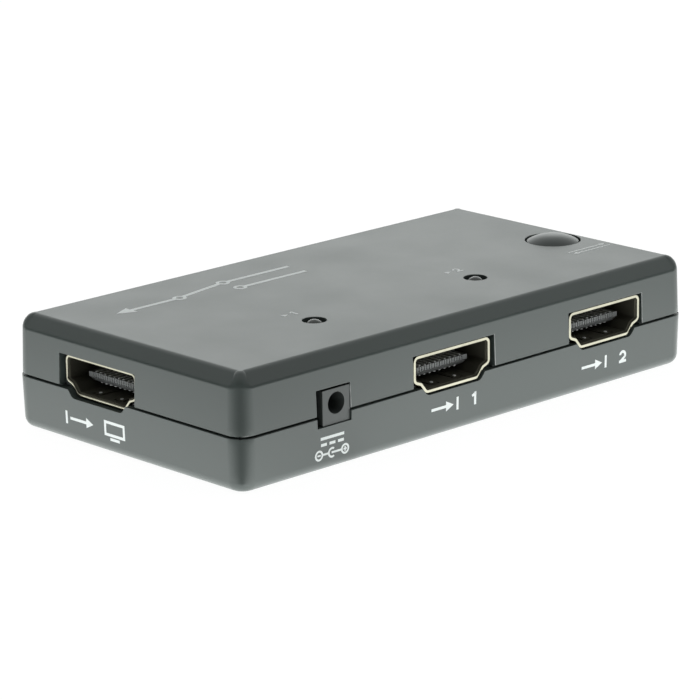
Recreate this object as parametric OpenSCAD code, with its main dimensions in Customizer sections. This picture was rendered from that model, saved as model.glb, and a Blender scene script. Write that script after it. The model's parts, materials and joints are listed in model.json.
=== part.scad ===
// Video switch box: two input ports and a power jack on the front, an output port on the left end,
// two indicator lamps and a select button on top.
// Frame: origin under the middle of the box, X along the front, Y to the back, Z up, millimetres.

/* [Housing] */
// Length of the box, along X
body_w = 90; // [84:1:110]
// Depth of the box, along Y
body_d = 48; // [46:1:60]
// Height of the box, without the button's dome
body_h = 16.7; // [16.4:0.1:20]
// Height of the seam between the two shells
seam_z = 7.75; // [7.6:0.05:8.3]
// Wall of both shells
wall = 2; // [1.8:0.1:2.3]
// Floor of the lower shell
floor_t = 2; // [1.5:0.1:2.2]
// Roof of the upper shell
roof_t = 2; // [1.5:0.1:2.2]
// Plan radius of the upright corners
corner_r = 2.8; // [2.7:0.1:4]
// How far each shell's wall leans in over its height
draft_run = 0.22; // [0.1:0.02:0.3]
// Height of the bevel round the top
bevel_h = 1.95; // [1.4:0.05:2.1]
// Width of the bevel round the top, in plan
bevel_run = 1.65; // [1.5:0.05:2]
// Radius of the crease between the wall and the bevel
wall_crease_r = 0.8; // [0.2:0.1:1]
// Radius of the crease between the bevel and the top
top_crease_r = 1; // [0.2:0.1:1.2]
// Radius of the lower edge
base_r = 1.6; // [0.8:0.1:2]

/* [Seam] */
// Height of the shadow gap between the shells
seam_gap = 0.3; // [0.2:0.05:0.4]
// Depth of the shadow gap
seam_depth = 0.5; // [0.3:0.05:0.6]
// How far the upper shell sits back from the lower shell's rim
seam_step = 0.1; // [0:0.05:0.2]
// Height of the lower shell's locating lip
lip_h = 1; // [0.6:0.1:1.4]
// Thickness of the locating lip
lip_t = 0.7; // [0.5:0.05:0.8]
// Clearance round the locating lip
lip_clear = 0.1; // [0.05:0.01:0.15]

/* [Housing screws] */
// Radius of the corner posts
post_r = 3.2; // [3:0.1:3.6]
// Distance from the inner wall to a post's axis
post_inset = 3; // [2.8:0.1:3.4]
// Depth of the counterbore under each post
counterbore_h = 3.2; // [2.4:0.1:4]
// Radius of a screw's head
screw_head_r = 2.2; // [1.8:0.1:2.4]
// Height of a screw's head
screw_head_h = 1.6; // [1.2:0.1:2]
// Radius of a screw's shank
screw_r = 1.25; // [1:0.05:1.4]
// Length of a screw's shank
screw_len = 9; // [7:0.5:10]
// Clearance round a screw's head in its counterbore
head_clear = 0.4; // [0.2:0.05:0.6]
// Clearance round a screw's shank in the lower post
shank_clear = 0.2; // [0.1:0.05:0.3]

/* [Circuit board] */
// Height of the board's top face
board_top = 6.4; // [6.2:0.1:6.6]
// Thickness of the board
board_t = 1.6; // [1:0.1:1.8]
// Clearance between the board and what stands round it
board_clear = 0.4; // [0.2:0.05:0.6]
// Radius of the board's supports
support_r = 2.2; // [2:0.1:2.6]
// Distance from the left end to the left plain support
support_left = 9; // [8.5:0.1:10]
// Distance from the right end to the right plain support
support_right = 6; // [5:0.1:7]
// Distance from the front to both plain supports
support_front = 12; // [11:0.1:12.5]
// Radius of a board screw's shank
board_screw_r = 0.95; // [0.8:0.05:1.1]
// Length of a board screw's shank
board_screw_len = 3.8; // [3:0.1:4]
// Radius of a board screw's head
board_head_r = 1.9; // [1.6:0.1:2.1]
// Height of a board screw's head
board_head_h = 1.3; // [1:0.1:1.5]
// Distance from the left end to the left board screw
board_screw_left = 35; // [33:0.5:36]
// Distance from the right end to the right board screw
board_screw_right = 15; // [13:0.5:17]
// Distance from the back to both board screws
board_screw_back = 8; // [7:0.5:9]
// Room round a soldered leg in its hole in the board
leg_clear = 0.2; // [0.1:0.05:0.3]
// How far soldered legs reach below the board
leg_tail = 0.9; // [0.6:0.1:1.2]

/* [Video ports] */
// Distance from the left end to the middle of the first input
in_1_left = 40.5; // [39:0.1:42]
// Distance from the right end to the middle of the second input
in_2_right = 17.8; // [17.5:0.1:19.5]
// Distance from the back to the middle of the output
out_back = 18.2; // [17.5:0.1:21]
// How far the inputs' mouths sit behind the front
in_recess = 0.4; // [0.3:0.05:0.8]
// How far the output's mouth sits behind the left end
out_recess = 0.85; // [0.3:0.05:0.9]
// Gap left of the inputs in the upper shell
in_left_gap = 0.25; // [0.2:0.05:0.8]
// Gap right of the first input in the upper shell
in_1_gap = 0.8; // [0.2:0.05:0.9]
// Gap right of the second input in the upper shell
in_2_gap = 0.4; // [0.2:0.05:0.9]
// Gap behind the output in the upper shell
out_back_gap = 0.6; // [0.2:0.05:0.9]
// Gap before the output in the upper shell
out_front_gap = 0.4; // [0.2:0.05:0.9]
// Gap over the ports in the upper shell
port_top_gap = 0.1; // [0.05:0.05:0.5]
// Gap under the ports in the lower shell
port_low_gap = 0.2; // [0.15:0.05:0.3]
// Width of a port's opening
port_w = 14; // [13.9:0.05:14.2]
// Height of a port's opening
port_h = 4.55; // [4.45:0.05:4.7]
// Width of the opening's floor
port_floor_w = 9.8; // [9:0.1:10]
// Width across the shoulders above the floor
port_shoulder_w = 11.8; // [11.4:0.1:12.6]
// Height of the shoulders above the floor
port_shoulder_h = 1.25; // [1:0.05:1.3]
// Height of the upright sides' lower ends above the floor
port_side_h = 1.65; // [1.55:0.05:1.9]
// Radius of the opening's corners
port_corner_r = 0.3; // [0.2:0.05:0.4]
// Height of the opening's floor above the board
port_lift = 1; // [0.9:0.05:1.1]
// Sheet thickness of a port's shell
port_sheet = 0.3; // [0.25:0.05:0.35]
// How far the mouth is flared on every side
port_flare = 0.18; // [0.1:0.02:0.2]
// Depth of the flare
port_flare_len = 0.4; // [0.3:0.05:0.5]
// Thickness of the rolled rim round the mouth
port_rim = 0.42; // [0.36:0.02:0.5]
// Length of the rolled rim
port_rim_len = 0.8; // [0.6:0.1:1.2]
// Length of a port's shell
port_len = 10.5; // [10:0.1:11.5]
// Width of the legs that hold a port's shell on the board
port_leg_w = 1.2; // [0.8:0.1:1.6]
// Distance from a port's mouth to its front legs
port_leg_front = 2.8; // [2.2:0.1:3.4]
// Distance from the rear of a port's shell to its rear legs
port_leg_rear = 2; // [1.4:0.1:2.6]
// Spacing of the two spring fingers in the floor of a port's shell
spring_pitch = 4.6; // [4:0.1:5]
// Width of a spring finger
spring_w = 1.4; // [1:0.1:1.6]
// Slot round a spring finger
spring_slot = 0.25; // [0.2:0.05:0.4]
// Depth of a finger's free tip behind the mouth
spring_tip = 1.3; // [1.2:0.05:1.4]
// Depth of a finger's crown behind the mouth
spring_crown = 1.9; // [1.6:0.1:2.4]
// Depth of a finger's root behind the mouth
spring_root = 5.6; // [4.5:0.1:6]
// Rise of a finger's crown into the port
spring_rise = 0.1; // [0.1:0.02:0.24]

/* [Port insides] */
// Width of the tongue
tongue_w = 11.2; // [10.8:0.1:11.6]
// Depth of the tongue's tip behind the mouth
tongue_tip = 2.6; // [2:0.1:3]
// Height of the tongue's top above the opening's floor
tongue_top = 2.45; // [2.4:0.05:2.9]
// Height of the tongue's front face
tongue_face = 0.68; // [0.5:0.02:0.8]
// Thickness of the tongue
tongue_t = 1.5; // [1.4:0.05:1.6]
// Length of the tongue's lower bevel
tongue_bevel = 0.9; // [0.5:0.1:1.2]
// Length of the insulator's block inside the shell
block_len = 4; // [3:0.1:5]
// Length of the insulator's foot behind the shell
foot_len = 1.5; // [1.2:0.1:2]
// Clearance of the insulator in the shell
block_clear = 0.05; // [0.02:0.01:0.1]
// Spacing of the contacts
contact_pitch = 0.5; // [0.48:0.01:0.52]
// Width of a contact
contact_w = 0.3; // [0.24:0.01:0.34]
// Thickness of a contact
contact_t = 0.12; // [0.1:0.01:0.15]
// Distance from the tongue's tip to the ends of the upper contacts
contact_setback = 0.35; // [0.2:0.05:0.5]
// Depth of the grooves in the tongue's tip, one before each contact
tip_groove = 0.12; // [0.08:0.02:0.2]
// Length of a contact's solder foot
contact_foot = 0.8; // [0.5:0.1:1]

/* [Power jack] */
// Distance from the left end to the middle of the power jack
jack_left = 17.9; // [17:0.1:19]
// How far the jack's face sits behind the front
jack_recess = 0.3; // [0.1:0.05:0.4]
// Width of the jack's body
jack_w = 5.1; // [5:0.1:5.6]
// Height of the jack's body
jack_h = 5; // [4.8:0.1:5.6]
// Length of the jack's body
jack_len = 9.6; // [9:0.1:10.5]
// Radius of the jack's hole
jack_bore_r = 1.55; // [1.4:0.05:1.7]
// Height of the hole's axis above the board
jack_bore_z = 2.9; // [2.8:0.05:3.2]
// Depth of the jack's hole
jack_bore_depth = 8.4; // [7.5:0.1:8.8]
// Radius of the centre pin
jack_pin_r = 0.5; // [0.35:0.05:0.6]
// Depth of the pin's tip behind the jack's face
jack_pin_tip = 2.2; // [1:0.1:2.4]
// Width of the sleeve spring and of both terminals
jack_leaf_w = 1.2; // [0.8:0.1:1.4]
// Thickness of the sleeve spring and of both terminals
jack_leaf_t = 0.25; // [0.2:0.05:0.35]
// Depth of the sleeve spring's tip behind the jack's face
jack_leaf_tip = 2.4; // [2:0.1:3]
// Distance from the sleeve spring's crown to each end of its bow
jack_leaf_bow = 2; // [1.6:0.1:2]
// Depth of the sleeve spring's leg behind the jack's face
jack_leg_y = 6.7; // [6.6:0.1:7.4]
// Gap left of the jack in the shells
jack_left_gap = 1.2; // [0.3:0.1:1.3]
// Gap right of the jack in the shells
jack_right_gap = 0.05; // [0.05:0.05:0.4]
// Gap over the jack in the shells
jack_top_gap = 0.3; // [0.1:0.05:0.4]

/* [Select button] */
// Distance from the right end to the button's axis
button_right = 6.8; // [6.8:0.1:8.6]
// Distance from the front to the button's axis
button_front = 21; // [20:0.1:28]
// Radius of the button's cap
button_r = 4; // [3.5:0.05:4.05]
// Clearance round the cap in its hole
button_clear = 0.25; // [0.2:0.05:0.5]
// Rise of the cap's dome above the top
button_rise = 0.85; // [0.5:0.05:1.5]
// Depth of the cap's edge below the top
button_sink = 0.15; // [0.1:0.05:0.5]
// Width of the flange that keeps the cap in
flange_run = 0.6; // [0.5:0.05:0.65]
// Thickness of the flange
flange_t = 1; // [0.6:0.1:1.4]
// Gap between the flange and the roof
flange_gap = 0.2; // [0.1:0.05:0.3]
// Radius of the stem under the cap
stem_r = 1.6; // [1.2:0.1:2]

/* [Push switch] */
// Width of the switch's base
switch_w = 6; // [5.6:0.1:6.2]
// Height of the switch's base
switch_h = 2.9; // [2.6:0.1:3.2]
// Thickness of the switch's cover plate
cover_t = 0.3; // [0.2:0.05:0.4]
// Height of the plunger's top above the board
plunger_h = 5; // [4.5:0.1:5.5]
// Radius of the plunger
plunger_r = 1.75; // [1.5:0.05:1.8]
// Radius of the plunger's flange
plunger_flange_r = 2; // [1.95:0.05:2.1]
// Clearance round the plunger and its flange
plunger_clear = 0.12; // [0.1:0.01:0.2]
// Depth of the pocket that holds the snap dome
pocket_h = 1.3; // [1.2:0.05:1.5]
// Height of the snap dome
dome_h = 0.4; // [0.35:0.05:0.5]
// Thickness of the snap dome
dome_t = 0.1; // [0.06:0.01:0.12]
// Width of a switch terminal
terminal_w = 0.7; // [0.5:0.05:0.8]
// Thickness of a switch terminal
terminal_t = 0.3; // [0.2:0.05:0.4]
// Spacing of the switch's terminals
terminal_pitch = 4.5; // [4:0.1:4.6]

/* [Indicator lamps] */
// Distance from the left end to the first lamp
lamp_1_left = 26.6; // [26:0.1:28]
// Distance from the right end to the second lamp
lamp_2_right = 31.15; // [30:0.05:34]
// Distance from the front to both lamps
lamp_front = 13.7; // [13.4:0.1:15]
// Radius of a lamp's dome
lamp_r = 1.5; // [1.4:0.05:1.55]
// Clearance round a lamp in its hole
lamp_clear = 0.25; // [0.15:0.05:0.3]
// Rise of a lamp's tip above the top
lamp_rise = 0.12; // [0:0.01:0.5]
// Length of a lamp, from its tip to its base
lamp_len = 5.3; // [5:0.1:6]
// Width of a lamp's rim
lamp_rim = 0.4; // [0.2:0.05:0.5]
// Height of a lamp's rim
lamp_rim_h = 1; // [0.6:0.1:1.2]
// Length of the collar that guides a lamp under the roof
collar_h = 1.4; // [1:0.1:1.6]
// Wall of the collar that guides a lamp
collar_t = 1.2; // [0.8:0.1:1.5]
// Spacing of a lamp's leads
lead_pitch = 2.54; // [2.4:0.02:2.6]
// Width of a lamp's square leads
lead_w = 0.5; // [0.4:0.05:0.6]

/* [Electronics] */
// Width of the switch chip
chip_w = 10; // [9:0.5:11]
// Thickness of the chips
chip_t = 1.4; // [1:0.1:1.6]
// Leads on each side of the switch chip
chip_leads = 13; // [9:1:13]
// Spacing of the switch chip's leads
chip_pitch = 0.65; // [0.6:0.01:0.7]
// Width of the switch chip's leads
chip_lead_w = 0.26; // [0.2:0.02:0.3]
// Length of the control chip
control_w = 4.9; // [4.8:0.1:5.2]
// Depth of the control chip and of the regulator
control_d = 3.8; // [3.4:0.1:4]
// Spacing of the control chip's leads
control_pitch = 1.27; // [1.2:0.01:1.3]
// Width of the control chip's leads
control_lead_w = 0.5; // [0.4:0.02:0.6]
// Length of the voltage regulator
regulator_w = 6.5; // [6.4:0.1:6.8]
// Spacing of the regulator's leads
regulator_pitch = 2.3; // [2.2:0.02:2.35]
// Width of the regulator's leads
regulator_lead_w = 0.9; // [0.6:0.1:1.1]
// Width of the regulator's cooling tab
regulator_tab_w = 3.2; // [2.8:0.1:3.6]
// Radius of a power capacitor
can_r = 2.5; // [2:0.1:2.6]
// Height of a power capacitor
can_h = 5.4; // [4.5:0.1:6]
// Width of a power capacitor's square foot
can_foot_w = 5.3; // [5.2:0.1:5.6]
// Height of a power capacitor's square foot
can_foot_h = 0.8; // [0.5:0.1:1]
// Length of the small resistors and capacitors
passive_len = 1.6; // [1.2:0.1:1.8]
// Width of the small resistors and capacitors
passive_w = 0.8; // [0.5:0.1:0.9]
// Height of the small capacitors
ceramic_h = 0.8; // [0.5:0.1:0.9]
// Height of the small resistors
resistor_h = 0.4; // [0.3:0.05:0.6]
// Spacing of the small resistors and capacitors
passive_pitch = 2; // [1.6:0.1:2.4]

/* [Hidden] */

$fn = 48;
// Cutters reach this far past the faces that they open
over = 1;
// Grid that the points of the housing's profiles are set on
fine_grid = 0.001;
// Points along each softened edge
arc_steps = 5;
// Slip between a hole and the shank, pin or strip that is pressed or soldered into it
press_slip = 0.05;
// Room left at the blind end of a screw's hole
tip_room = 0.2;
// Cross recess of a screw, as shares of its shank's radius and of its head's width
recess_w_share = 0.5;
recess_len_share = 0.6;

// Colours as the object shows them
shell_grey = [0.27, 0.29, 0.29];
plate_gold = [0.86, 0.82, 0.66];
contact_metal = [0.75, 0.72, 0.66];
moulded_black = [0.08, 0.08, 0.08];
board_green = [0.05, 0.25, 0.14];
steel = [0.6, 0.6, 0.62];
lamp_smoke = [0.45, 0.47, 0.46];
ceramic_tan = [0.7, 0.6, 0.45];
resistor_black = [0.12, 0.12, 0.13];

// Places along the box, from the ends that they are measured from
left_end = -body_w / 2;
right_end = body_w / 2;
front = -body_d / 2;
back = body_d / 2;
in_1_x = left_end + in_1_left;
in_2_x = right_end - in_2_right;
out_y = back - out_back;
jack_x = left_end + jack_left;
button_x = right_end - button_right;
button_y = front + button_front;
lamp_1_x = left_end + lamp_1_left;
lamp_2_x = right_end - lamp_2_right;
lamp_y = front + lamp_front;

board_bottom = board_top - board_t;
roof_z = body_h - roof_t;
post_x = body_w / 2 - wall - post_inset;
post_y = body_d / 2 - wall - post_inset;
contacts = 19;
control_leads = 4;
power_leads = 3;
passives = 5;

// Small helpers on points and outlines
function unit(v) = v / norm(v);
function on_grid(v) = round(v / fine_grid) * fine_grid;
function turned(v, a) = [v.x * cos(a) - v.y * sin(a), v.x * sin(a) + v.y * cos(a)];
function outward(a, b) = let (d = unit(b - a)) [d.y, -d.x];

// Arc of radius r that takes off the corner at p, between its neighbours before and after
function softened(before, p, after, r) =
    let (
        d0 = unit(before - p),
        d1 = unit(after - p),
        half = acos(d0 * d1) / 2,
        centre = p + unit(d0 + d1) * r / sin(half),
        first = p + d0 * r / tan(half) - centre,
        sweep = (180 - 2 * half) * sign(cross(-d0, d1))
    )
    [for (k = [0:arc_steps]) centre + turned(first, sweep * k / arc_steps)];

// Closed outline moved outwards by g, counter-clockwise
function grown(outline, g) =
    let (n = len(outline))
    [for (i = [0:n - 1])
        let (
            n0 = outward(outline[(i + n - 1) % n], outline[i]),
            n1 = outward(outline[i], outline[(i + 1) % n])
        )
        outline[i] + g * (n0 + n1) / (1 + n0 * n1)];

// Closed outline with every corner softened
function rounded(outline, r) =
    let (n = len(outline))
    [for (i = [0:n - 1])
        each softened(outline[(i + n - 1) % n], outline[i], outline[(i + 1) % n], r)];

// Solid whose four walls and four corners follow one profile.
// The profile's points are [distance in from the widest outline, height], from bottom to top.
// They are set on the fine grid, so that the walls and the corners meet in the same points.
module profiled_block(profile) {
    last = len(profile) - 1;
    path = [for (p = profile) [on_grid(p.x), on_grid(p.y)]];
    module across(half) {
        polygon(concat(
            [for (p = path) [half - p.x, p.y]],
            [for (i = [last:-1:0]) [path[i].x - half, path[i].y]]
        ));
    }
    rotate([90, 0, 90]) linear_extrude(body_w - 2 * corner_r, center = true) across(body_d / 2);
    rotate([90, 0, 0]) linear_extrude(body_d - 2 * corner_r, center = true) across(body_w / 2);
    for (quarter = [0:90:270]) {
        place = [sign(cos(quarter + 45)), sign(sin(quarter + 45))];
        translate([place.x * (body_w / 2 - corner_r), place.y * (body_d / 2 - corner_r), 0])
        rotate(quarter)
        rotate_extrude(angle = 90)
        polygon(concat(
            [[0, path[0].y]],
            [for (p = path) [corner_r - p.x, p.y]],
            [[0, path[last].y]]
        ));
    }
}

// Straight block set in from the widest outline, between two heights
module inner_block(inset, z0, z1) {
    profiled_block([[inset, z0], [inset, z1]]);
}

// Extrudes an outline drawn in X and Z backwards from y0
module run_back(y0, length) {
    translate([0, y0 + length, 0]) rotate([90, 0, 0]) linear_extrude(length) children();
}

// Extrudes a side view drawn in Y and Z across X, centred
module run_across(width) {
    rotate([90, 0, 90]) linear_extrude(width, center = true) children();
}

module at_posts() {
    for (sx = [-1, 1], sy = [-1, 1]) translate([sx * post_x, sy * post_y, 0]) children();
}

// Places on the board's top face, with the piece's mouth towards the outside
module at_front(x, recess) {
    translate([x, front + recess, board_top]) children();
}

module at_left(y, recess) {
    translate([left_end + recess, y, board_top]) rotate(-90) children();
}

module at_input_1() { at_front(in_1_x, in_recess) children(); }
module at_input_2() { at_front(in_2_x, in_recess) children(); }
module at_output() { at_left(out_y, out_recess) children(); }
module at_jack() { at_front(jack_x, jack_recess) children(); }
module at_switch() { translate([button_x, button_y, board_top]) children(); }

module at_lamps() {
    for (x = [lamp_1_x, lamp_2_x]) translate([x, lamp_y, 0]) children();
}

// The board's two screws stand behind the chips, its two plain supports in front
module at_board_screws() {
    for (x = [left_end + board_screw_left, right_end - board_screw_right])
        translate([x, back - board_screw_back, 0]) children();
}

module at_plain_supports() {
    for (x = [left_end + support_left, right_end - support_right])
        translate([x, front + support_front, 0]) children();
}

// Cut-outs that the ports and the jack need in the shells
mouth_edge = port_flare + port_rim;
port_half = port_w / 2 + mouth_edge;
port_top = port_lift + port_h + mouth_edge;
cut_depth = wall + lip_clear + over;

module upper_notch(left_gap, right_gap) {
    low = seam_z - board_top - over;
    translate([-port_half - left_gap, -over, low])
    cube([2 * port_half + left_gap + right_gap, cut_depth + over, port_top + port_top_gap - low]);
}

module lower_notch() {
    run_back(-over, cut_depth + over) polygon(port_outline(mouth_edge + port_low_gap));
}

module jack_cutout() {
    translate([-jack_w / 2 - jack_left_gap, -over, -press_slip])
    cube([jack_w + jack_left_gap + jack_right_gap, cut_depth + over, jack_h + jack_top_gap + press_slip]);
}

// Lower shell: rounded lower edge, drafted wall, locating lip, posts and board supports
lower_profile = concat(
    softened([corner_r, 0], [draft_run, 0], [0, seam_z], base_r),
    [[0, seam_z]]
);
lip_inset = wall - lip_t;

module lower_shell() {
    color(shell_grey)
    difference() {
        union() {
            difference() {
                union() {
                    profiled_block(lower_profile);
                    inner_block(lip_inset, seam_z - over, seam_z + lip_h);
                }
                inner_block(wall, floor_t, seam_z + lip_h + over);
            }
            at_posts() translate([0, 0, floor_t - over / 2])
                cylinder(r = post_r, h = seam_z - floor_t + over / 2);
            at_board_screws() translate([0, 0, floor_t - over / 2])
                cylinder(r = support_r, h = board_bottom - floor_t + over / 2);
            at_plain_supports() translate([0, 0, floor_t - over / 2])
                cylinder(r = support_r, h = board_bottom - floor_t + over / 2);
        }
        at_posts() {
            translate([0, 0, -over]) cylinder(r = screw_head_r + head_clear, h = counterbore_h + over);
            cylinder(r = screw_r + shank_clear, h = seam_z + over);
        }
        at_board_screws() translate([0, 0, board_top - board_screw_len - tip_room])
            cylinder(r = board_screw_r + press_slip, h = board_screw_len);
        at_front(in_1_x, 0) lower_notch();
        at_front(in_2_x, 0) lower_notch();
        at_left(out_y, 0) lower_notch();
        at_front(jack_x, 0) jack_cutout();
    }
}

// Upper shell: drafted wall, bevelled top, lip groove, screw posts, holes for lamps and button
bevel_z = body_h - bevel_h;
bevel_in = seam_step + draft_run;
top_in = bevel_in + bevel_run;
upper_profile = concat(
    [[seam_step + seam_depth, seam_z], [seam_step + seam_depth, seam_z + seam_gap]],
    [[seam_step, seam_z + seam_gap]],
    softened([seam_step, seam_z], [bevel_in, bevel_z], [top_in, body_h], wall_crease_r),
    softened([bevel_in, bevel_z], [top_in, body_h], [corner_r + over, body_h], top_crease_r)
);
pilot_h = screw_len - (seam_z - counterbore_h) + tip_room;

module upper_shell() {
    color(shell_grey)
    difference() {
        union() {
            difference() {
                profiled_block(upper_profile);
                inner_block(wall, seam_z - over, roof_z);
            }
            at_posts() translate([0, 0, seam_z])
                cylinder(r = post_r, h = roof_z - seam_z + over / 2);
            at_lamps() translate([0, 0, roof_z - collar_h])
                cylinder(r = lamp_r + lamp_clear + collar_t, h = collar_h + over / 2);
        }
        difference() {
            inner_block(lip_inset - lip_clear, seam_z - over, seam_z + lip_h + lip_clear);
            inner_block(wall + lip_clear, seam_z - 2 * over, seam_z + lip_h + over);
        }
        at_posts() translate([0, 0, seam_z - over])
            cylinder(r = screw_r + press_slip, h = pilot_h + over);
        at_lamps() translate([0, 0, roof_z - collar_h - over])
            cylinder(r = lamp_r + lamp_clear, h = roof_t + collar_h + 2 * over);
        translate([button_x, button_y, roof_z - over])
            cylinder(r = button_r + button_clear, h = roof_t + 2 * over);
        at_front(in_1_x, 0) upper_notch(in_left_gap, in_1_gap);
        at_front(in_2_x, 0) upper_notch(in_left_gap, in_2_gap);
        at_left(out_y, 0) upper_notch(out_back_gap, out_front_gap);
        at_front(jack_x, 0) jack_cutout();
    }
}

// Cross-headed screw pointing up, with the underside of its head at z = 0
module cross_screw(head_r, head_h, shank_r, length) {
    recess_w = shank_r * recess_w_share;
    recess_len = 2 * head_r * recess_len_share;
    recess_h = head_h / 2;
    difference() {
        union() {
            translate([0, 0, -head_h]) cylinder(r = head_r, h = head_h);
            cylinder(r = shank_r, h = length);
        }
        for (a = [0, 90]) rotate(a) translate([-recess_len / 2, -recess_w / 2, -head_h - over])
            cube([recess_len, recess_w, recess_h + over]);
    }
}

module housing_screws() {
    color(steel) at_posts() translate([0, 0, counterbore_h])
        cross_screw(screw_head_r, screw_head_h, screw_r, screw_len);
}

module board_screws() {
    color(steel) at_board_screws() translate([0, 0, board_top]) rotate([180, 0, 0])
        cross_screw(board_head_r, board_head_h, board_screw_r, board_screw_len);
}

// Circuit board with notched corners and holes for every leg that passes through it
board_w = body_w - 2 * (wall + board_clear);
board_d = body_d - 2 * (wall + board_clear);
notch_x = post_x - post_r - board_clear;
notch_y = post_y - post_r - board_clear;

module board_hole(size) {
    translate([-size.x / 2 - leg_clear, -size.y / 2 - leg_clear, -board_t - over])
    cube([size.x + 2 * leg_clear, size.y + 2 * leg_clear, board_t + 2 * over]);
}

module port_leg_holes() {
    for (p = port_legs) translate([p.x, p.y, 0]) board_hole([port_sheet, port_leg_w]);
}

module circuit_board() {
    color(board_green)
    difference() {
        translate([-board_w / 2, -board_d / 2, board_bottom]) cube([board_w, board_d, board_t]);
        for (sx = [-1, 1], sy = [-1, 1])
            translate([sx * (notch_x + post_r), sy * (notch_y + post_r), board_bottom + board_t / 2])
            cube([2 * post_r, 2 * post_r, board_t + 2 * over], center = true);
        at_board_screws() translate([0, 0, board_bottom - over])
            cylinder(r = board_screw_r + shank_clear, h = board_t + 2 * over);
        at_input_1() port_leg_holes();
        at_input_2() port_leg_holes();
        at_output() port_leg_holes();
        at_jack() {
            translate([0, jack_len + jack_leaf_t / 2, 0]) board_hole([jack_leaf_w, jack_leaf_t]);
            translate([0, jack_leg_y, 0]) board_hole([jack_leaf_w, jack_leaf_t]);
        }
        at_switch() at_switch_legs() board_hole([terminal_t, terminal_w]);
        at_lamps() for (side = [-1, 1]) translate([side * lead_pitch / 2, 0, board_top])
            board_hole([lead_w, lead_w]);
    }
}

// Opening of a video port: wide at the top, drawn in at the shoulders below
port_opening = [
    for (p = [
        [-port_floor_w / 2, 0],
        [port_floor_w / 2, 0],
        [port_shoulder_w / 2, port_shoulder_h],
        [port_w / 2, port_side_h],
        [port_w / 2, port_h],
        [-port_w / 2, port_h],
        [-port_w / 2, port_side_h],
        [-port_shoulder_w / 2, port_shoulder_h],
    ]) p + [0, port_lift]
];
function port_outline(g) = rounded(grown(port_opening, g), port_corner_r + max(g, 0));

port_legs = [
    for (side = [-1, 1], y = [port_leg_front, port_len - port_leg_rear])
        [side * (port_w + port_sheet) / 2, y]
];

// Side view of a spring finger in the port's floor, bowed into the port
module spring_side() {
    low = port_lift - port_sheet;
    polygon([
        [spring_root, low],
        [spring_crown, low + spring_rise],
        [spring_tip, low],
        [spring_tip, port_lift],
        [spring_crown, port_lift + spring_rise],
        [spring_root, port_lift],
    ]);
}

module at_springs() {
    for (side = [-1, 1]) translate([side * spring_pitch / 2, 0, 0]) children();
}

module port_shell() {
    window_w = spring_w + 2 * spring_slot;
    window_y = spring_tip - spring_slot;
    color(plate_gold) {
        difference() {
            union() {
                run_back(0, port_len) polygon(port_outline(port_sheet));
                run_back(0, port_rim_len) polygon(port_outline(mouth_edge));
                for (p = port_legs)
                    translate([p.x - port_sheet / 2, p.y - port_leg_w / 2, -board_t - leg_tail])
                    cube([port_sheet, port_leg_w, port_lift + port_side_h + over + board_t + leg_tail]);
            }
            run_back(-over, port_len + 2 * over) polygon(port_outline(0));
            run_back(-over, over + port_flare_len) polygon(port_outline(port_flare));
            at_springs() translate([-window_w / 2, window_y, port_lift - 2 * port_sheet])
                cube([window_w, spring_root - window_y, 3 * port_sheet]);
        }
        at_springs() run_across(spring_w) spring_side();
    }
}

// Side view of the tongue, from its tip to the insulator's block
tongue_z = port_lift + tongue_top;
face_z = tongue_z - tongue_face;
under_z = tongue_z - tongue_t;
block_y = port_len - block_len;
rear_y = port_len + foot_len;

module tongue_side() {
    polygon([
        [tongue_tip, tongue_z],
        [tongue_tip, face_z],
        [tongue_tip + tongue_bevel, under_z],
        [block_y + over, under_z],
        [block_y + over, tongue_z],
    ]);
}

// Contacts of the upper row start behind the tip, run back on the tongue and drop to the board
module upper_contact_side() {
    polygon([
        [tongue_tip + contact_setback, tongue_z],
        [tongue_tip + contact_setback, tongue_z + contact_t],
        [rear_y + contact_t, tongue_z + contact_t],
        [rear_y + contact_t, contact_t],
        [rear_y + contact_foot, contact_t],
        [rear_y + contact_foot, 0],
        [rear_y, 0],
        [rear_y, tongue_z],
    ]);
}

// Contacts of the lower row start behind the bevel and run back under the tongue
module lower_contact_side() {
    polygon([
        [tongue_tip + tongue_bevel, under_z - contact_t],
        [rear_y, under_z - contact_t],
        [rear_y, 0],
        [rear_y + contact_foot, 0],
        [rear_y + contact_foot, contact_t],
        [rear_y + contact_t, contact_t],
        [rear_y + contact_t, under_z],
        [tongue_tip + tongue_bevel, under_z],
    ]);
}

function contact_x(k) = (k - (contacts - 1) / 2) * contact_pitch;

module contact_row() {
    for (k = [0:contacts - 1]) translate([contact_x(k), 0, 0])
        run_across(contact_w)
        if (k % 2 == 0) upper_contact_side();
        else lower_contact_side();
}

module tip_grooves() {
    for (k = [0:contacts - 1])
        translate([contact_x(k) - contact_w / 2, tongue_tip - over, face_z])
        cube([contact_w, over + tip_groove, tongue_face + over]);
}

module port_contacts() {
    color(contact_metal) contact_row();
}

module port_insulator() {
    foot_w = port_shoulder_w - port_sheet;
    foot_h = port_lift + port_h - port_sheet;
    color(moulded_black)
    difference() {
        union() {
            run_across(tongue_w) tongue_side();
            run_back(block_y, block_len + over / 2) polygon(port_outline(-block_clear));
            translate([-foot_w / 2, port_len, 0]) cube([foot_w, foot_len, foot_h]);
        }
        // The block's tail stays inside the foot's outline behind the shell
        difference() {
            translate([-port_w, port_len, 0]) cube([2 * port_w, over, port_top]);
            translate([-foot_w / 2, 0, -over]) cube([foot_w, rear_y, foot_h + over]);
        }
        contact_row();
        tip_grooves();
    }
}

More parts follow.
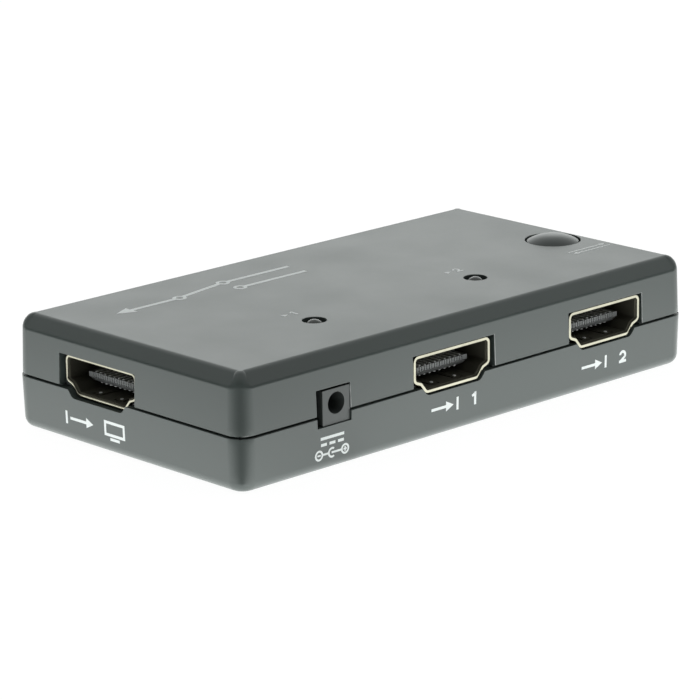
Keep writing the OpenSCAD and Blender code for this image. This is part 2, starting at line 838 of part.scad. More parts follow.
module input_1_shell() { at_input_1() port_shell(); }
module input_1_insulator() { at_input_1() port_insulator(); }
module input_1_contacts() { at_input_1() port_contacts(); }
module input_2_shell() { at_input_2() port_shell(); }
module input_2_insulator() { at_input_2() port_insulator(); }
module input_2_contacts() { at_input_2() port_contacts(); }
module output_shell() { at_output() port_shell(); }
module output_insulator() { at_output() port_insulator(); }
module output_contacts() { at_output() port_contacts(); }

// Power jack: a square body round the plug's hole, a centre pin and a leaf below the hole
leaf_z = jack_bore_z - jack_bore_r - 2 * jack_leaf_t;

module jack_spring_side() {
    crown = jack_leaf_tip + jack_leaf_bow;
    rear = jack_leg_y + jack_leaf_t / 2;
    foot = -board_t - leg_tail;
    polygon([
        [jack_leaf_tip, leaf_z],
        [jack_leaf_tip, leaf_z + jack_leaf_t],
        [crown, leaf_z + 3 * jack_leaf_t],
        [crown + jack_leaf_bow, leaf_z + jack_leaf_t],
        [rear, leaf_z + jack_leaf_t],
        [rear, foot],
        [rear - jack_leaf_t, foot],
        [rear - jack_leaf_t, leaf_z],
        [crown + jack_leaf_bow, leaf_z],
        [crown, leaf_z + 2 * jack_leaf_t],
    ]);
}

module jack_spring_leaf() {
    run_across(jack_leaf_w) jack_spring_side();
}

module power_jack_body() {
    color(moulded_black) at_jack()
    difference() {
        translate([-jack_w / 2, 0, 0]) cube([jack_w, jack_len, jack_h]);
        translate([0, -over, jack_bore_z]) rotate([-90, 0, 0])
            cylinder(r = jack_bore_r, h = jack_bore_depth + over);
        translate([0, 0, jack_bore_z]) rotate([-90, 0, 0])
            cylinder(r = jack_pin_r, h = jack_len + over);
        translate([-jack_leaf_w / 2 - press_slip, jack_leaf_tip - press_slip, leaf_z])
            cube([jack_leaf_w + 2 * press_slip, jack_leg_y - jack_leaf_tip, jack_bore_r]);
        jack_spring_leaf();
    }
}

module power_jack_pin() {
    color(contact_metal) at_jack() {
        translate([0, jack_pin_tip, jack_bore_z]) rotate([-90, 0, 0])
            cylinder(r = jack_pin_r, h = jack_len - jack_pin_tip + jack_leaf_t / 2);
        translate([-jack_leaf_w / 2, jack_len, -board_t - leg_tail])
            cube([jack_leaf_w, jack_leaf_t, jack_bore_z + jack_leaf_w / 2 + board_t + leg_tail]);
    }
}

module power_jack_spring() {
    color(contact_metal) at_jack() jack_spring_leaf();
}

// Select button: domed cap, keeping flange under the roof and stem down to the plunger
function bulge(rise, r, x) = rise * (1 - (x / r) * (x / r));
dome_steps = 10;
cap_edge = body_h - button_sink;
cap_rise = button_sink + button_rise;
flange_top = roof_z - flange_gap;
plunger_top = board_top + plunger_h;

module select_button() {
    color(shell_grey) translate([button_x, button_y, 0])
    rotate_extrude()
    polygon(concat(
        [[0, plunger_top], [stem_r, plunger_top], [stem_r, flange_top - flange_t]],
        [[button_r + flange_run, flange_top - flange_t], [button_r + flange_run, flange_top]],
        [[button_r, flange_top]],
        [for (k = [0:dome_steps])
            let (x = button_r * (1 - k / dome_steps)) [x, cap_edge + bulge(cap_rise, button_r, x)]]
    ));
}

// Push switch on the board, with a snap dome under its plunger
pocket_r = plunger_flange_r + plunger_clear;
pocket_z = switch_h - pocket_h;

module at_switch_legs() {
    for (sx = [-1, 1], sy = [-1, 1])
        translate([sx * (switch_w + terminal_t) / 2, sy * terminal_pitch / 2, 0]) children();
}

module switch_base() {
    color(moulded_black) at_switch()
    difference() {
        translate([-switch_w / 2, -switch_w / 2, 0]) cube([switch_w, switch_w, switch_h]);
        translate([0, 0, pocket_z]) cylinder(r = pocket_r, h = pocket_h + over);
    }
}

module switch_cover() {
    color(steel) at_switch() translate([0, 0, switch_h])
    difference() {
        translate([-switch_w / 2, -switch_w / 2, 0]) cube([switch_w, switch_w, cover_t]);
        translate([0, 0, -over]) cylinder(r = plunger_r + plunger_clear, h = cover_t + 2 * over);
    }
}

module switch_dome() {
    rim = pocket_r - plunger_clear;
    color(steel) at_switch() translate([0, 0, pocket_z])
    rotate_extrude()
    polygon(concat(
        [for (k = [0:dome_steps])
            let (x = rim * k / dome_steps) [x, bulge(dome_h - dome_t, rim, x)]],
        [for (k = [dome_steps:-1:0])
            let (x = rim * k / dome_steps) [x, dome_t + bulge(dome_h - dome_t, rim, x)]]
    ));
}

module switch_plunger() {
    low = pocket_z + dome_h;
    flange_h = switch_h - plunger_clear * 2 - low;
    color(moulded_black) at_switch() translate([0, 0, low]) {
        cylinder(r = plunger_flange_r, h = flange_h);
        cylinder(r = plunger_r, h = plunger_h - low);
    }
}

module switch_terminals() {
    color(steel) at_switch() at_switch_legs()
    translate([-terminal_t / 2, -terminal_w / 2, -board_t - leg_tail])
    cube([terminal_t, terminal_w, board_t + leg_tail + switch_h / 2]);
}

// Indicator lamps: domed lens with a rim at its base, on two square leads
lamp_tip = body_h + lamp_rise;
lamp_base = lamp_tip - lamp_len;

module lamp_lens(x) {
    color(lamp_smoke) translate([x, lamp_y, 0])
    rotate_extrude()
    polygon(concat(
        [[0, lamp_base], [lamp_r + lamp_rim, lamp_base], [lamp_r + lamp_rim, lamp_base + lamp_rim_h]],
        [[lamp_r, lamp_base + lamp_rim_h]],
        [for (k = [0:dome_steps])
            let (a = 90 * k / dome_steps) [lamp_r * cos(a), lamp_tip - lamp_r * (1 - sin(a))]]
    ));
}

module lamp_1_lens() { lamp_lens(lamp_1_x); }
module lamp_2_lens() { lamp_lens(lamp_2_x); }

module lamp_leads() {
    foot = board_bottom - leg_tail;
    color(steel) at_lamps() for (side = [-1, 1])
        translate([side * lead_pitch / 2 - lead_w / 2, -lead_w / 2, foot])
        cube([lead_w, lead_w, lamp_base - foot]);
}

// Chips: flat bodies with rows of bent leads that stand on the board
chip_x = 2;
chip_y = 6;
control_x = 20;
control_y = 6;
regulator_x = -20;
regulator_y = 3;
chip_place = [chip_x, chip_y];
control_place = [control_x, control_y];
regulator_place = [regulator_x, regulator_y];
chip_stand = 0.1;
lead_run = 1;
lead_t = 0.15;

module chip_lead_side(edge) {
    mid = chip_stand + chip_t / 2;
    polygon([
        [edge, mid],
        [edge + lead_run / 2 - lead_t, mid],
        [edge + lead_run / 2 - lead_t, 0],
        [edge + lead_run, 0],
        [edge + lead_run, lead_t],
        [edge + lead_run / 2, lead_t],
        [edge + lead_run / 2, mid + lead_t],
        [edge, mid + lead_t],
    ]);
}

module lead_row(edge, count, pitch, width) {
    for (k = [0:count - 1]) translate([(k - (count - 1) / 2) * pitch, 0, 0])
        run_across(width) chip_lead_side(edge);
}

module chip_body(w, d) {
    dimple_r = 0.4;
    difference() {
        translate([-w / 2, -d / 2, chip_stand]) cube([w, d, chip_t]);
        translate([3 * dimple_r - w / 2, 3 * dimple_r - d / 2, chip_stand + chip_t - lead_t])
            cylinder(r = dimple_r, h = over);
    }
}

module on_board(place) {
    translate([place.x, place.y, board_top]) children();
}

module switch_chip() {
    color(moulded_black) on_board(chip_place) chip_body(chip_w, chip_w);
}

module switch_chip_leads() {
    color(steel) on_board(chip_place) for (a = [0:90:270]) rotate(a)
        lead_row(chip_w / 2, chip_leads, chip_pitch, chip_lead_w);
}

module control_chip() {
    color(moulded_black) on_board(control_place) chip_body(control_w, control_d);
}

module control_chip_leads() {
    color(steel) on_board(control_place) for (a = [0, 180]) rotate(a)
        lead_row(control_d / 2, control_leads, control_pitch, control_lead_w);
}

module voltage_regulator() {
    color(moulded_black) on_board(regulator_place) chip_body(regulator_w, control_d);
}

module regulator_leads() {
    color(steel) on_board(regulator_place) {
        lead_row(control_d / 2, power_leads, regulator_pitch, regulator_lead_w);
        rotate(180) run_across(regulator_tab_w) chip_lead_side(control_d / 2);
    }
}

// Power capacitors: round cans on square feet, one behind the jack and one behind the first input
can_1_front = 16;
can_2_left = 33;
can_2_front = 20;
can_places = [[jack_x, front + can_1_front], [left_end + can_2_left, front + can_2_front]];

module power_capacitors() {
    color(steel) for (place = can_places) on_board(place) {
        translate([-can_foot_w / 2, -can_foot_w / 2, 0]) cube([can_foot_w, can_foot_w, can_foot_h]);
        cylinder(r = can_r, h = can_h);
    }
}

// Small parts stand in two rows beside the switch chip
module passive_row(offset_y, height) {
    for (k = [0:passives - 1])
        on_board(chip_place + [(k - (passives - 1) / 2) * passive_pitch, offset_y])
        translate([-passive_w / 2, -passive_len / 2, 0])
        cube([passive_w, passive_len, height]);
}

passive_gap = chip_w / 2 + lead_run + passive_len;

module ceramic_capacitors() {
    color(ceramic_tan) passive_row(-passive_gap, ceramic_h);
}

module resistors() {
    color(resistor_black) passive_row(passive_gap, resistor_h);
}

lower_shell();
upper_shell();
housing_screws();
circuit_board();
board_screws();
input_1_shell();
input_1_insulator();
input_1_contacts();
input_2_shell();
input_2_insulator();
input_2_contacts();
output_shell();
output_insulator();
output_contacts();
power_jack_body();
power_jack_pin();
power_jack_spring();
select_button();
switch_base();
switch_cover();
switch_dome();
switch_plunger();
switch_terminals();
lamp_1_lens();
lamp_2_lens();
lamp_leads();
switch_chip();
switch_chip_leads();
control_chip();
control_chip_leads();
voltage_regulator();
regulator_leads();
power_capacitors();
ceramic_capacitors();
resistors();
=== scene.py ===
"""Looks of a video switch box: moulded shells, plated ports, a select button, lamps and printed marks."""

import json
import logging
import math
from collections.abc import Callable, Iterable, Sequence
from dataclasses import dataclass, field
from enum import Enum

import bmesh
import bpy
from bmesh.types import BMesh, BMVert
from bpy.types import Material, Mesh, Node, NodeSocket, NodeTree, Object
from mathutils import Matrix, Vector
from mathutils.bvhtree import BVHTree


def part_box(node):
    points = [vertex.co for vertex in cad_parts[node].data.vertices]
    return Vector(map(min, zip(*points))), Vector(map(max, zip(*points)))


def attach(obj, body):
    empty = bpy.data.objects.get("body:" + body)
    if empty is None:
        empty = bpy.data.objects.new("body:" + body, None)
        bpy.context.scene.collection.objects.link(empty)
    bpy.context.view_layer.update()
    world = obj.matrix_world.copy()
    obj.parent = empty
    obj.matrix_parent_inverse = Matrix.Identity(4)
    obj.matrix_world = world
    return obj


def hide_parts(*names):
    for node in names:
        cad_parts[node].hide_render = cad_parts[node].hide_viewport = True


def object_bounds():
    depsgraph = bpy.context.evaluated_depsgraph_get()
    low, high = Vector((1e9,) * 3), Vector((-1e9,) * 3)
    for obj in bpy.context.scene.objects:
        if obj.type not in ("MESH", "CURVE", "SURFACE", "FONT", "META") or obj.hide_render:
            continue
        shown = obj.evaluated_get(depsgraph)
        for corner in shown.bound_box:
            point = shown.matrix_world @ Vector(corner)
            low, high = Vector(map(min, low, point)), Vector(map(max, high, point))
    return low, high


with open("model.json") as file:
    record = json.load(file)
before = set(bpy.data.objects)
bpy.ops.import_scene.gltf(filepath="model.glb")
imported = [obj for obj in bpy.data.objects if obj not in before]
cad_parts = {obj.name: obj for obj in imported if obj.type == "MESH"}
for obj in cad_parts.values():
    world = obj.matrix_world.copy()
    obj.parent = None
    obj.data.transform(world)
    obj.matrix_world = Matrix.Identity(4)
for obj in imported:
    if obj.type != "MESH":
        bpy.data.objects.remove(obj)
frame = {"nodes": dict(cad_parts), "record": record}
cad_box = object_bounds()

LOG = logging.getLogger("switch_box")
MM = 0.001
WELD = 1e-6
FLAT_ANGLE = math.radians(0.3)
SHARP_ANGLE = math.radians(28)
ROUND_PROFILE = 0.5
# Mark on softened edges: handling wear, raised to a painted highlight on the right-hand edges of the front
# cut-outs.
WEAR_AND_HIGHLIGHT_ATTRIBUTE = "edge_wear"
# Mark of the plating inside a port's mouth: rougher, and darkened as painted shade.
DULL_AND_SHADE_ATTRIBUTE = "dulled"
# How light a marked edge gets: a faint rub where the mark is small, a painted highlight where it is raised.
WEAR_AND_HIGHLIGHT_SHADE = 6.0
OUTPUT_RIM = 0.16

Point = tuple[float, float]
Colour = tuple[float, float, float]

UNIT: Point = (0.0, 1.0)
WHITE: Colour = (1.0, 1.0, 1.0)


class Body(Enum):
    """Bodies that a piece can ride on."""

    HOUSING = "housing"
    BUTTON = "button"


class Slot(Enum):
    """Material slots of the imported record."""

    SHELL = "shell_plastic"
    BUTTON = "button_plastic"
    JACK = "jack_plastic"
    PLATED = "plated_shell"
    CONTACT = "contact_metal"
    INSULATOR = "insulator_black"
    BOARD = "board_laminate"
    SCREW = "screw_steel"
    TINNED = "tinned_steel"
    LAMP = "lamp_epoxy"
    CHIP = "chip_epoxy"
    CAN = "can_aluminium"
    CERAMIC = "ceramic"
    RESISTOR = "resistor_film"


class Side(Enum):
    """Faces of the box that carry printed marks, as (right, up, outward) directions."""

    FRONT = ((1, 0, 0), (0, 0, 1), (0, -1, 0))
    LEFT = ((0, -1, 0), (0, 0, 1), (-1, 0, 0))
    TOP = ((1, 0, 0), (0, 1, 0), (0, 0, 1))


class NodeSheet:
    """Adds nodes to a node tree and links them."""

    def __init__(self, tree: NodeTree) -> None:
        """Keeps the tree that the nodes go into."""
        self.tree = tree

    def add(self, kind: str, inputs: dict | None = None, **settings: object) -> Node:
        """Adds one node.

        Args:
            kind: Blender's name of the node type.
            inputs: Values or output sockets for the node's inputs, by name or index.
            settings: Values for the node's own properties.

        Returns:
            The new node.
        """
        node = self.tree.nodes.new(kind)
        for key, value in settings.items():
            setattr(node, key, value)
        for key, value in (inputs or {}).items():
            if isinstance(value, NodeSocket):
                self.tree.links.new(value, node.inputs[key])
            else:
                node.inputs[key].default_value = value
        return node

    def math(self, operation: str, *values: object) -> NodeSocket:
        """Adds a Math node and returns its output."""
        return self.add("ShaderNodeMath", dict(enumerate(values)), operation=operation).outputs[0]

    def plus(self, first: object, second: object) -> NodeSocket:
        """Adds two values."""
        return self.math("ADD", first, second)

    def minus(self, first: object, second: object) -> NodeSocket:
        """Takes the second value from the first."""
        return self.math("SUBTRACT", first, second)

    def times(self, first: object, second: object) -> NodeSocket:
        """Multiplies two values."""
        return self.math("MULTIPLY", first, second)

    def most(self, first: object, second: object) -> NodeSocket:
        """Gives the larger of two values."""
        return self.math("MAXIMUM", first, second)

    def remap(self, value: NodeSocket, low: Point, high: Point) -> NodeSocket:
        """Adds a Map Range node that takes low[0]..low[1] to high[0]..high[1], and returns its output."""
        ends = {"Value": value, "From Min": low[0], "From Max": low[1], "To Min": high[0], "To Max": high[1]}
        return self.add("ShaderNodeMapRange", ends).outputs[0]

    def mix(self, share: object, first: object, second: object) -> NodeSocket:
        """Adds a colour Mix node and returns its output."""
        node = self.add("ShaderNodeMix", {0: share, 6: first, 7: second}, data_type="RGBA")
        return node.outputs[2]

    def noise(self, place: NodeSocket, scale: object, **inputs: float) -> NodeSocket:
        """Adds a Noise Texture node and returns its value."""
        return self.add("ShaderNodeTexNoise", {"Vector": place, "Scale": scale, **inputs}).outputs[0]

    def mark(self, name: str) -> NodeSocket:
        """Reads a mark that the mesh carries and returns its value."""
        node = self.add("ShaderNodeAttribute", attribute_type="GEOMETRY", attribute_name=name)
        return node.outputs["Fac"]

    def place(self) -> NodeSocket:
        """Gives the Object coordinates."""
        return self.add("ShaderNodeTexCoord").outputs["Object"]

    def group(self, tree: NodeTree, **inputs: float) -> bpy.types.bpy_prop_collection:
        """Adds a shared group on the Object coordinates and returns its outputs."""
        return self.add("ShaderNodeGroup", {"Vector": self.place(), **inputs}, node_tree=tree).outputs

    def bump(self, height: NodeSocket, strength: float, depth: float) -> NodeSocket:
        """Adds a Bump node, with its depth in millimetres, and returns its normal."""
        inputs = {"Height": height, "Strength": strength, "Distance": depth * MM}
        return self.add("ShaderNodeBump", inputs).outputs[0]


def rgba(colour: Colour) -> tuple[float, float, float, float]:
    """Gives a colour its full alpha."""
    return (*colour, 1.0)


def shaded(colour: Colour, share: float) -> tuple[float, float, float, float]:
    """Makes a colour darker or lighter by a share."""
    return rgba(tuple(min(1.0, c * share) for c in colour))


def drifting(sheet: NodeSheet, shade: NodeSocket, colour: Colour, drift: float) -> NodeSocket:
    """Mixes a colour from a little darker to a little lighter."""
    return sheet.mix(shade, shaded(colour, 1 - drift), shaded(colour, 1 + drift))


class SharedGroups:
    """Shader effects that several finishes use, each built once as a node group."""

    PITS = {"Detail": 2.0, "Roughness": 0.6}
    DRIFT = {"Detail": 3.0, "Roughness": 0.5}
    PIT_SHARE = 0.35
    SHADE_SPAN: Point = (0.45, 0.95)
    PATCH_DETAIL = 3.0
    PATCH_SPAN: Point = (0.35, 0.65)
    LEAST_RUB = 0.2
    STRETCH = (0.06, 0.06, 1.0)
    LINE_DETAIL = 2.0
    CLOUD_SCALE = 400.0
    CLOUD_DETAIL = 4.0
    CLOUD_SPAN: Point = (0.4, 0.7)

    def __init__(self) -> None:
        """Builds the three groups."""
        self.grain = self._grain()
        self.wear_and_highlight = self._wear_and_highlight()
        self.streaks = self._streaks()

    @staticmethod
    def _start(
        name: str, scales: dict[str, float], outputs: Iterable[str]
    ) -> tuple[NodeSheet, bpy.types.bpy_prop_collection]:
        """Opens an empty group with its sockets.

        Args:
            name: Name of the group.
            scales: Names and defaults of the float inputs, which follow the Vector input.
            outputs: Names of the float outputs.

        Returns:
            The sheet to draw the group on, and the sockets of the group's inputs.
        """
        tree = bpy.data.node_groups.new(name, "ShaderNodeTree")
        tree.interface.new_socket("Vector", in_out="INPUT", socket_type="NodeSocketVector")
        for label, default in scales.items():
            socket = tree.interface.new_socket(label, in_out="INPUT", socket_type="NodeSocketFloat")
            socket.default_value = default
        for label in outputs:
            tree.interface.new_socket(label, in_out="OUTPUT", socket_type="NodeSocketFloat")
        sheet = NodeSheet(tree)
        return sheet, sheet.add("NodeGroupInput").outputs

    def _grain(self) -> NodeTree:
        """Moulded texture: fine pitting for height, and a slow drift in shade.

        Returns:
            The group's node tree.
        """
        sheet, given = self._start("moulded_grain", {"Fine": 4000.0, "Broad": 90.0}, ["Height", "Shade"])
        pits = sheet.noise(given["Vector"], given["Fine"], **self.PITS)
        drift = sheet.noise(given["Vector"], given["Broad"], **self.DRIFT)
        speckle = sheet.math("MULTIPLY_ADD", pits, self.PIT_SHARE, drift)
        shade = sheet.remap(speckle, self.SHADE_SPAN, UNIT)
        sheet.add("NodeGroupOutput", {"Height": pits, "Shade": shade})
        return sheet.tree

    def _wear_and_highlight(self) -> NodeTree:
        """Handling wear and painted highlight: broken-up rub along the softened edges, as a mask that also
        carries the painted highlights of marked edges.

        Returns:
            The group's node tree.
        """
        sheet, given = self._start("edge_wear", {"Patch": 600.0}, ["Mask"])
        patch = sheet.noise(given["Vector"], given["Patch"], Detail=self.PATCH_DETAIL)
        broken = sheet.remap(patch, self.PATCH_SPAN, (self.LEAST_RUB, 1.0))
        sheet.add("NodeGroupOutput", {"Mask": sheet.times(sheet.mark(WEAR_AND_HIGHLIGHT_ATTRIBUTE), broken)})
        return sheet.tree

    def _streaks(self) -> NodeTree:
        """Drawing marks of plated sheet: long thin streaks for height, soft tarnish, and where it is dull and
        painted darker as shade.

        Returns:
            The group's node tree.
        """
        sheet, given = self._start("drawn_streaks", {"Fine": 9000.0}, ["Height", "Tarnish", "Dull"])
        stretched = sheet.add("ShaderNodeMapping", {"Vector": given["Vector"], "Scale": self.STRETCH})
        lines = sheet.noise(stretched.outputs[0], given["Fine"], Detail=self.LINE_DETAIL)
        cloud = sheet.noise(given["Vector"], self.CLOUD_SCALE, Detail=self.CLOUD_DETAIL)
        tarnish = sheet.remap(cloud, self.CLOUD_SPAN, UNIT)
        dull_and_shade = sheet.mark(DULL_AND_SHADE_ATTRIBUTE)
        sheet.add("NodeGroupOutput", {"Height": lines, "Tarnish": tarnish, "Dull": dull_and_shade})
        return sheet.tree


def new_material(name: str) -> tuple[Material, NodeSheet]:
    """Opens a material with an empty node tree.

    Args:
        name: Name of the material.

    Returns:
        The material, and the sheet to draw its nodes on.
    """
    material = bpy.data.materials.new(name)
    material.use_nodes = True
    material.node_tree.nodes.clear()
    return material, NodeSheet(material.node_tree)


def close_material(sheet: NodeSheet, shader: NodeSocket) -> None:
    """Links a shader to the material's output."""
    sheet.add("ShaderNodeOutputMaterial", {"Surface": shader})


@dataclass(frozen=True)
class Finish:
    """A finish of the object, which its values turn into one material."""

    name: str
    colour: Colour

    def build(self, groups: SharedGroups) -> Material:
        """Builds the material.

        Args:
            groups: The shared shader groups.

        Returns:
            The finished material.
        """
        material, sheet = new_material(self.name)
        shader = sheet.add("ShaderNodeBsdfPrincipled", self.surface(sheet, groups))
        close_material(sheet, shader.outputs[0])
        return material

    def surface(self, sheet: NodeSheet, groups: SharedGroups) -> dict[str, object]:
        """Draws what the surface's shader takes in.

        Args:
            sheet: The sheet of the material's nodes.
            groups: The shared shader groups.

        Returns:
            Values or sockets for the shader's inputs, by name.
        """
        raise NotImplementedError


@dataclass(frozen=True)
class MouldedPlastic(Finish):
    """Moulded plastic with fine grain, a slow drift in shade, rubbed edges and painted edge highlights."""

    roughness: float = 0.4
    specular: float = 0.5
    grain: float = 5000.0
    depth: float = 0.004
    relief: float = 0.35
    drift: float = 0.05
    swing: float = 0.03
    # Strength of the edge rub, which also scales the painted highlight of raised marks.
    wear_and_highlight: float = 0.04

    def surface(self, sheet: NodeSheet, groups: SharedGroups) -> dict[str, object]:
        """Draws the grained and rubbed surface, with painted highlights on edges whose mark is raised.

        Args:
            sheet: The sheet of the material's nodes.
            groups: The shared shader groups.

        Returns:
            Values or sockets for the shader's inputs, by name.
        """
        grain = sheet.group(groups.grain, Fine=self.grain)
        shade = grain["Shade"]
        rubbed_and_highlit = sheet.times(sheet.group(groups.wear_and_highlight)["Mask"], self.wear_and_highlight)
        grey = sum(self.colour) / len(self.colour) * WEAR_AND_HIGHLIGHT_SHADE
        base = drifting(sheet, shade, self.colour, self.drift)
        return {
            # Lighter grey on marked edges: a faint rub, and a painted highlight where the mark is raised.
            "Base Color": sheet.mix(rubbed_and_highlit, base, rgba((grey,) * 3)),
            "Roughness": sheet.remap(shade, UNIT, (self.roughness - self.swing, self.roughness + self.swing)),
            "Normal": sheet.bump(grain["Height"], self.relief, self.depth),
            "Specular IOR Level": self.specular,
        }


@dataclass(frozen=True)
class PlatedMetal(Finish):
    """Plated or bare metal with drawing streaks, soft tarnish, and a rougher skin, darkened as painted shade,
    where a mesh is marked.
    """

    roughness: float = 0.2
    streak: float = 9000.0
    depth: float = 0.001
    relief: float = 0.2
    tarnish: float = 0.12
    swing: float = 0.08
    inner_painted_shade: float = 0.3
    dull_roughness: float = 0.8

    def surface(self, sheet: NodeSheet, groups: SharedGroups) -> dict[str, object]:
        """Draws the streaked and tarnished surface, rougher and darkened as painted shade where the mesh is
        marked.

        Args:
            sheet: The sheet of the material's nodes.
            groups: The shared shader groups.

        Returns:
            Values or sockets for the shader's inputs, by name.
        """
        streaks = sheet.group(groups.streaks, Fine=self.streak)
        clouded, dull_and_shade = streaks["Tarnish"], streaks["Dull"]
        base = sheet.mix(clouded, rgba(self.colour), shaded(self.colour, 1 - self.tarnish))
        rough = sheet.remap(clouded, UNIT, (self.roughness, self.roughness + self.swing))
        return {
            # Painted shade: marked plating is darkened, and made rougher.
            "Base Color": sheet.mix(dull_and_shade, base, shaded(self.colour, self.inner_painted_shade)),
            "Metallic": 1.0,
            "Roughness": sheet.most(rough, sheet.times(dull_and_shade, self.dull_roughness)),
            "Normal": sheet.bump(streaks["Height"], self.relief, self.depth),
        }


@dataclass(frozen=True)
class SmokyEpoxy(Finish):
    """Smoky clear epoxy of the lamps, with flow clouds in its tint."""

    roughness: float = 0.08
    cloud: float = 900.0
    drift: float = 0.2
    swing: float = 0.05
    clear: float = 0.35
    ior: float = 1.53

    def surface(self, sheet: NodeSheet, groups: SharedGroups) -> dict[str, object]:
        """Draws the clouded surface.

        Args:
            sheet: The sheet of the material's nodes.
            groups: The shared shader groups.

        Returns:
            Values or sockets for the shader's inputs, by name.
        """
        shade = sheet.group(groups.grain, Broad=self.cloud)["Shade"]
        return {
            "Base Color": drifting(sheet, shade, self.colour, self.drift),
            "Roughness": sheet.remap(shade, UNIT, (self.roughness, self.roughness + self.swing)),
            "Transmission Weight": self.clear,
            "IOR": self.ior,
        }


@dataclass(frozen=True)
class SolderMask(Finish):
    """Green lacquer of the circuit board over etched copper tracks."""

    track_colour: Colour
    track_pitch: float = 1.2
    track_edge: Point = (0.52, 0.56)
    depth: float = 0.03
    relief: float = 0.3
    drift: float = 0.1
    rough_span: Point = (0.25, 0.35)

    def surface(self, sheet: NodeSheet, groups: SharedGroups) -> dict[str, object]:
        """Draws the lacquer and its tracks.

        Args:
            sheet: The sheet of the material's nodes.
            groups: The shared shader groups.

        Returns:
            Values or sockets for the shader's inputs, by name.
        """
        cells = sheet.add(
            "ShaderNodeTexVoronoi",
            {"Vector": sheet.place(), "Scale": 1 / (self.track_pitch * MM)},
            feature="F1",
            distance="MANHATTAN",
        )
        tracks = sheet.remap(cells.outputs["Distance"], self.track_edge, UNIT)
        shade = sheet.group(groups.grain)["Shade"]
        lacquer = drifting(sheet, shade, self.colour, self.drift)
        return {
            "Base Color": sheet.mix(tracks, lacquer, rgba(self.track_colour)),
            "Roughness": sheet.remap(shade, UNIT, self.rough_span),
            "Normal": sheet.bump(tracks, self.relief, self.depth),
        }


WORN_LITTLE = 0.016
FINISHES: dict[Slot, Finish] = {
    Slot.SHELL: MouldedPlastic(
        "satin_grey_shell", (0.0555, 0.0705, 0.0662), roughness=0.36, specular=0.75
    ),
    Slot.BUTTON: MouldedPlastic(
        "smooth_grey_button", (0.034, 0.044, 0.041), roughness=0.3, specular=0.62, depth=0.002
    ),
    Slot.JACK: MouldedPlastic("satin_grey_jack", (0.066, 0.073, 0.071), roughness=0.4, specular=0.6),
    Slot.PLATED: PlatedMetal("pale_gold_plating", (0.44, 0.42, 0.335), roughness=0.16),
    Slot.CONTACT: PlatedMetal("brown_gold_contact", (0.05, 0.042, 0.03), roughness=0.55),
    Slot.INSULATOR: MouldedPlastic(
        "dark_insulator", (0.19, 0.195, 0.195), roughness=0.35, wear_and_highlight=WORN_LITTLE
    ),
    Slot.BOARD: SolderMask("green_lacquer", (0.012, 0.07, 0.035), (0.03, 0.14, 0.07)),
    Slot.SCREW: PlatedMetal("zinc_screw", (0.62, 0.63, 0.65), roughness=0.28, tarnish=0.2),
    Slot.TINNED: PlatedMetal("tinned_lead", (0.78, 0.78, 0.77), roughness=0.3),
    Slot.LAMP: SmokyEpoxy("smoky_lamp", (0.10, 0.105, 0.10)),
    Slot.CHIP: MouldedPlastic(
        "chip_epoxy", (0.016, 0.016, 0.018), roughness=0.55, grain=7000.0, wear_and_highlight=WORN_LITTLE
    ),
    Slot.CAN: PlatedMetal("drawn_can", (0.80, 0.80, 0.82), roughness=0.25),
    Slot.CERAMIC: MouldedPlastic(
        "fired_ceramic", (0.42, 0.30, 0.18), roughness=0.5, drift=0.1, wear_and_highlight=WORN_LITTLE
    ),
    Slot.RESISTOR: MouldedPlastic(
        "glazed_film", (0.015, 0.015, 0.02), roughness=0.3, wear_and_highlight=WORN_LITTLE
    ),
}
INK = MouldedPlastic(
    "white_ink", (0.84, 0.86, 0.86), roughness=0.5, specular=0.4, depth=0.002, drift=0.03, wear_and_highlight=0.0
)


@dataclass
class Palette:
    """Materials of the object, built once from their finishes."""

    groups: SharedGroups = field(default_factory=SharedGroups)
    made: dict[Slot, Material] = field(default_factory=dict)

    def __post_init__(self) -> None:
        """Builds every finish."""
        for slot, finish in FINISHES.items():
            self.made[slot] = finish.build(self.groups)
        self.ink = INK.build(self.groups)

    def __getitem__(self, slot: Slot) -> Material:
        """Gives the material of a slot."""
        return self.made[slot]


def new_object(name: str, mesh: Mesh) -> Object:
    """Puts a mesh into the scene as an object at the origin.

    Args:
        name: Name of the object.
        mesh: Its mesh.

    Returns:
        The object.
    """
    made = bpy.data.objects.new(name, mesh)
    bpy.context.scene.collection.objects.link(made)
    return made


def plain(obj: Object) -> Object:
    """Turns an object's modifiers into a plain mesh, and removes them.

    Args:
        obj: The object.

    Returns:
        The same object, with its new mesh.
    """
    depsgraph = bpy.context.evaluated_depsgraph_get()
    mesh = bpy.data.meshes.new_from_object(
        obj.evaluated_get(depsgraph), preserve_all_data_layers=True, depsgraph=depsgraph
    )
    obj.modifiers.clear()
    old = obj.data
    obj.data = mesh
    bpy.data.meshes.remove(old)
    mesh.name = obj.name
    return obj


def with_even_normals(obj: Object) -> Object:
    """Shades an object smooth, with crisp sharp edges and flat faces that stay flat.

    Args:
        obj: The object.

    Returns:
        The same object, with its normals in its mesh.
    """
    obj.data.shade_smooth()
    obj.data.set_sharp_from_angle(angle=SHARP_ANGLE)
    even = obj.modifiers.new("even_normals", "WEIGHTED_NORMAL")
    even.keep_sharp = True
    return plain(obj)


def object_of(name: str, build: BMesh) -> Object:
    """Closes a bmesh into an object with outward faces and no imported normals.

    Args:
        name: Name of the object and of its mesh.
        build: The bmesh, which is freed.

    Returns:
        The object, at the origin.
    """
    bmesh.ops.recalc_face_normals(build, faces=build.faces)
    mesh = bpy.data.meshes.new(name)
    build.to_mesh(mesh)
    build.free()
    stale = mesh.attributes.get("custom_normal")
    if stale:
        mesh.attributes.remove(stale)
    return new_object(name, mesh)


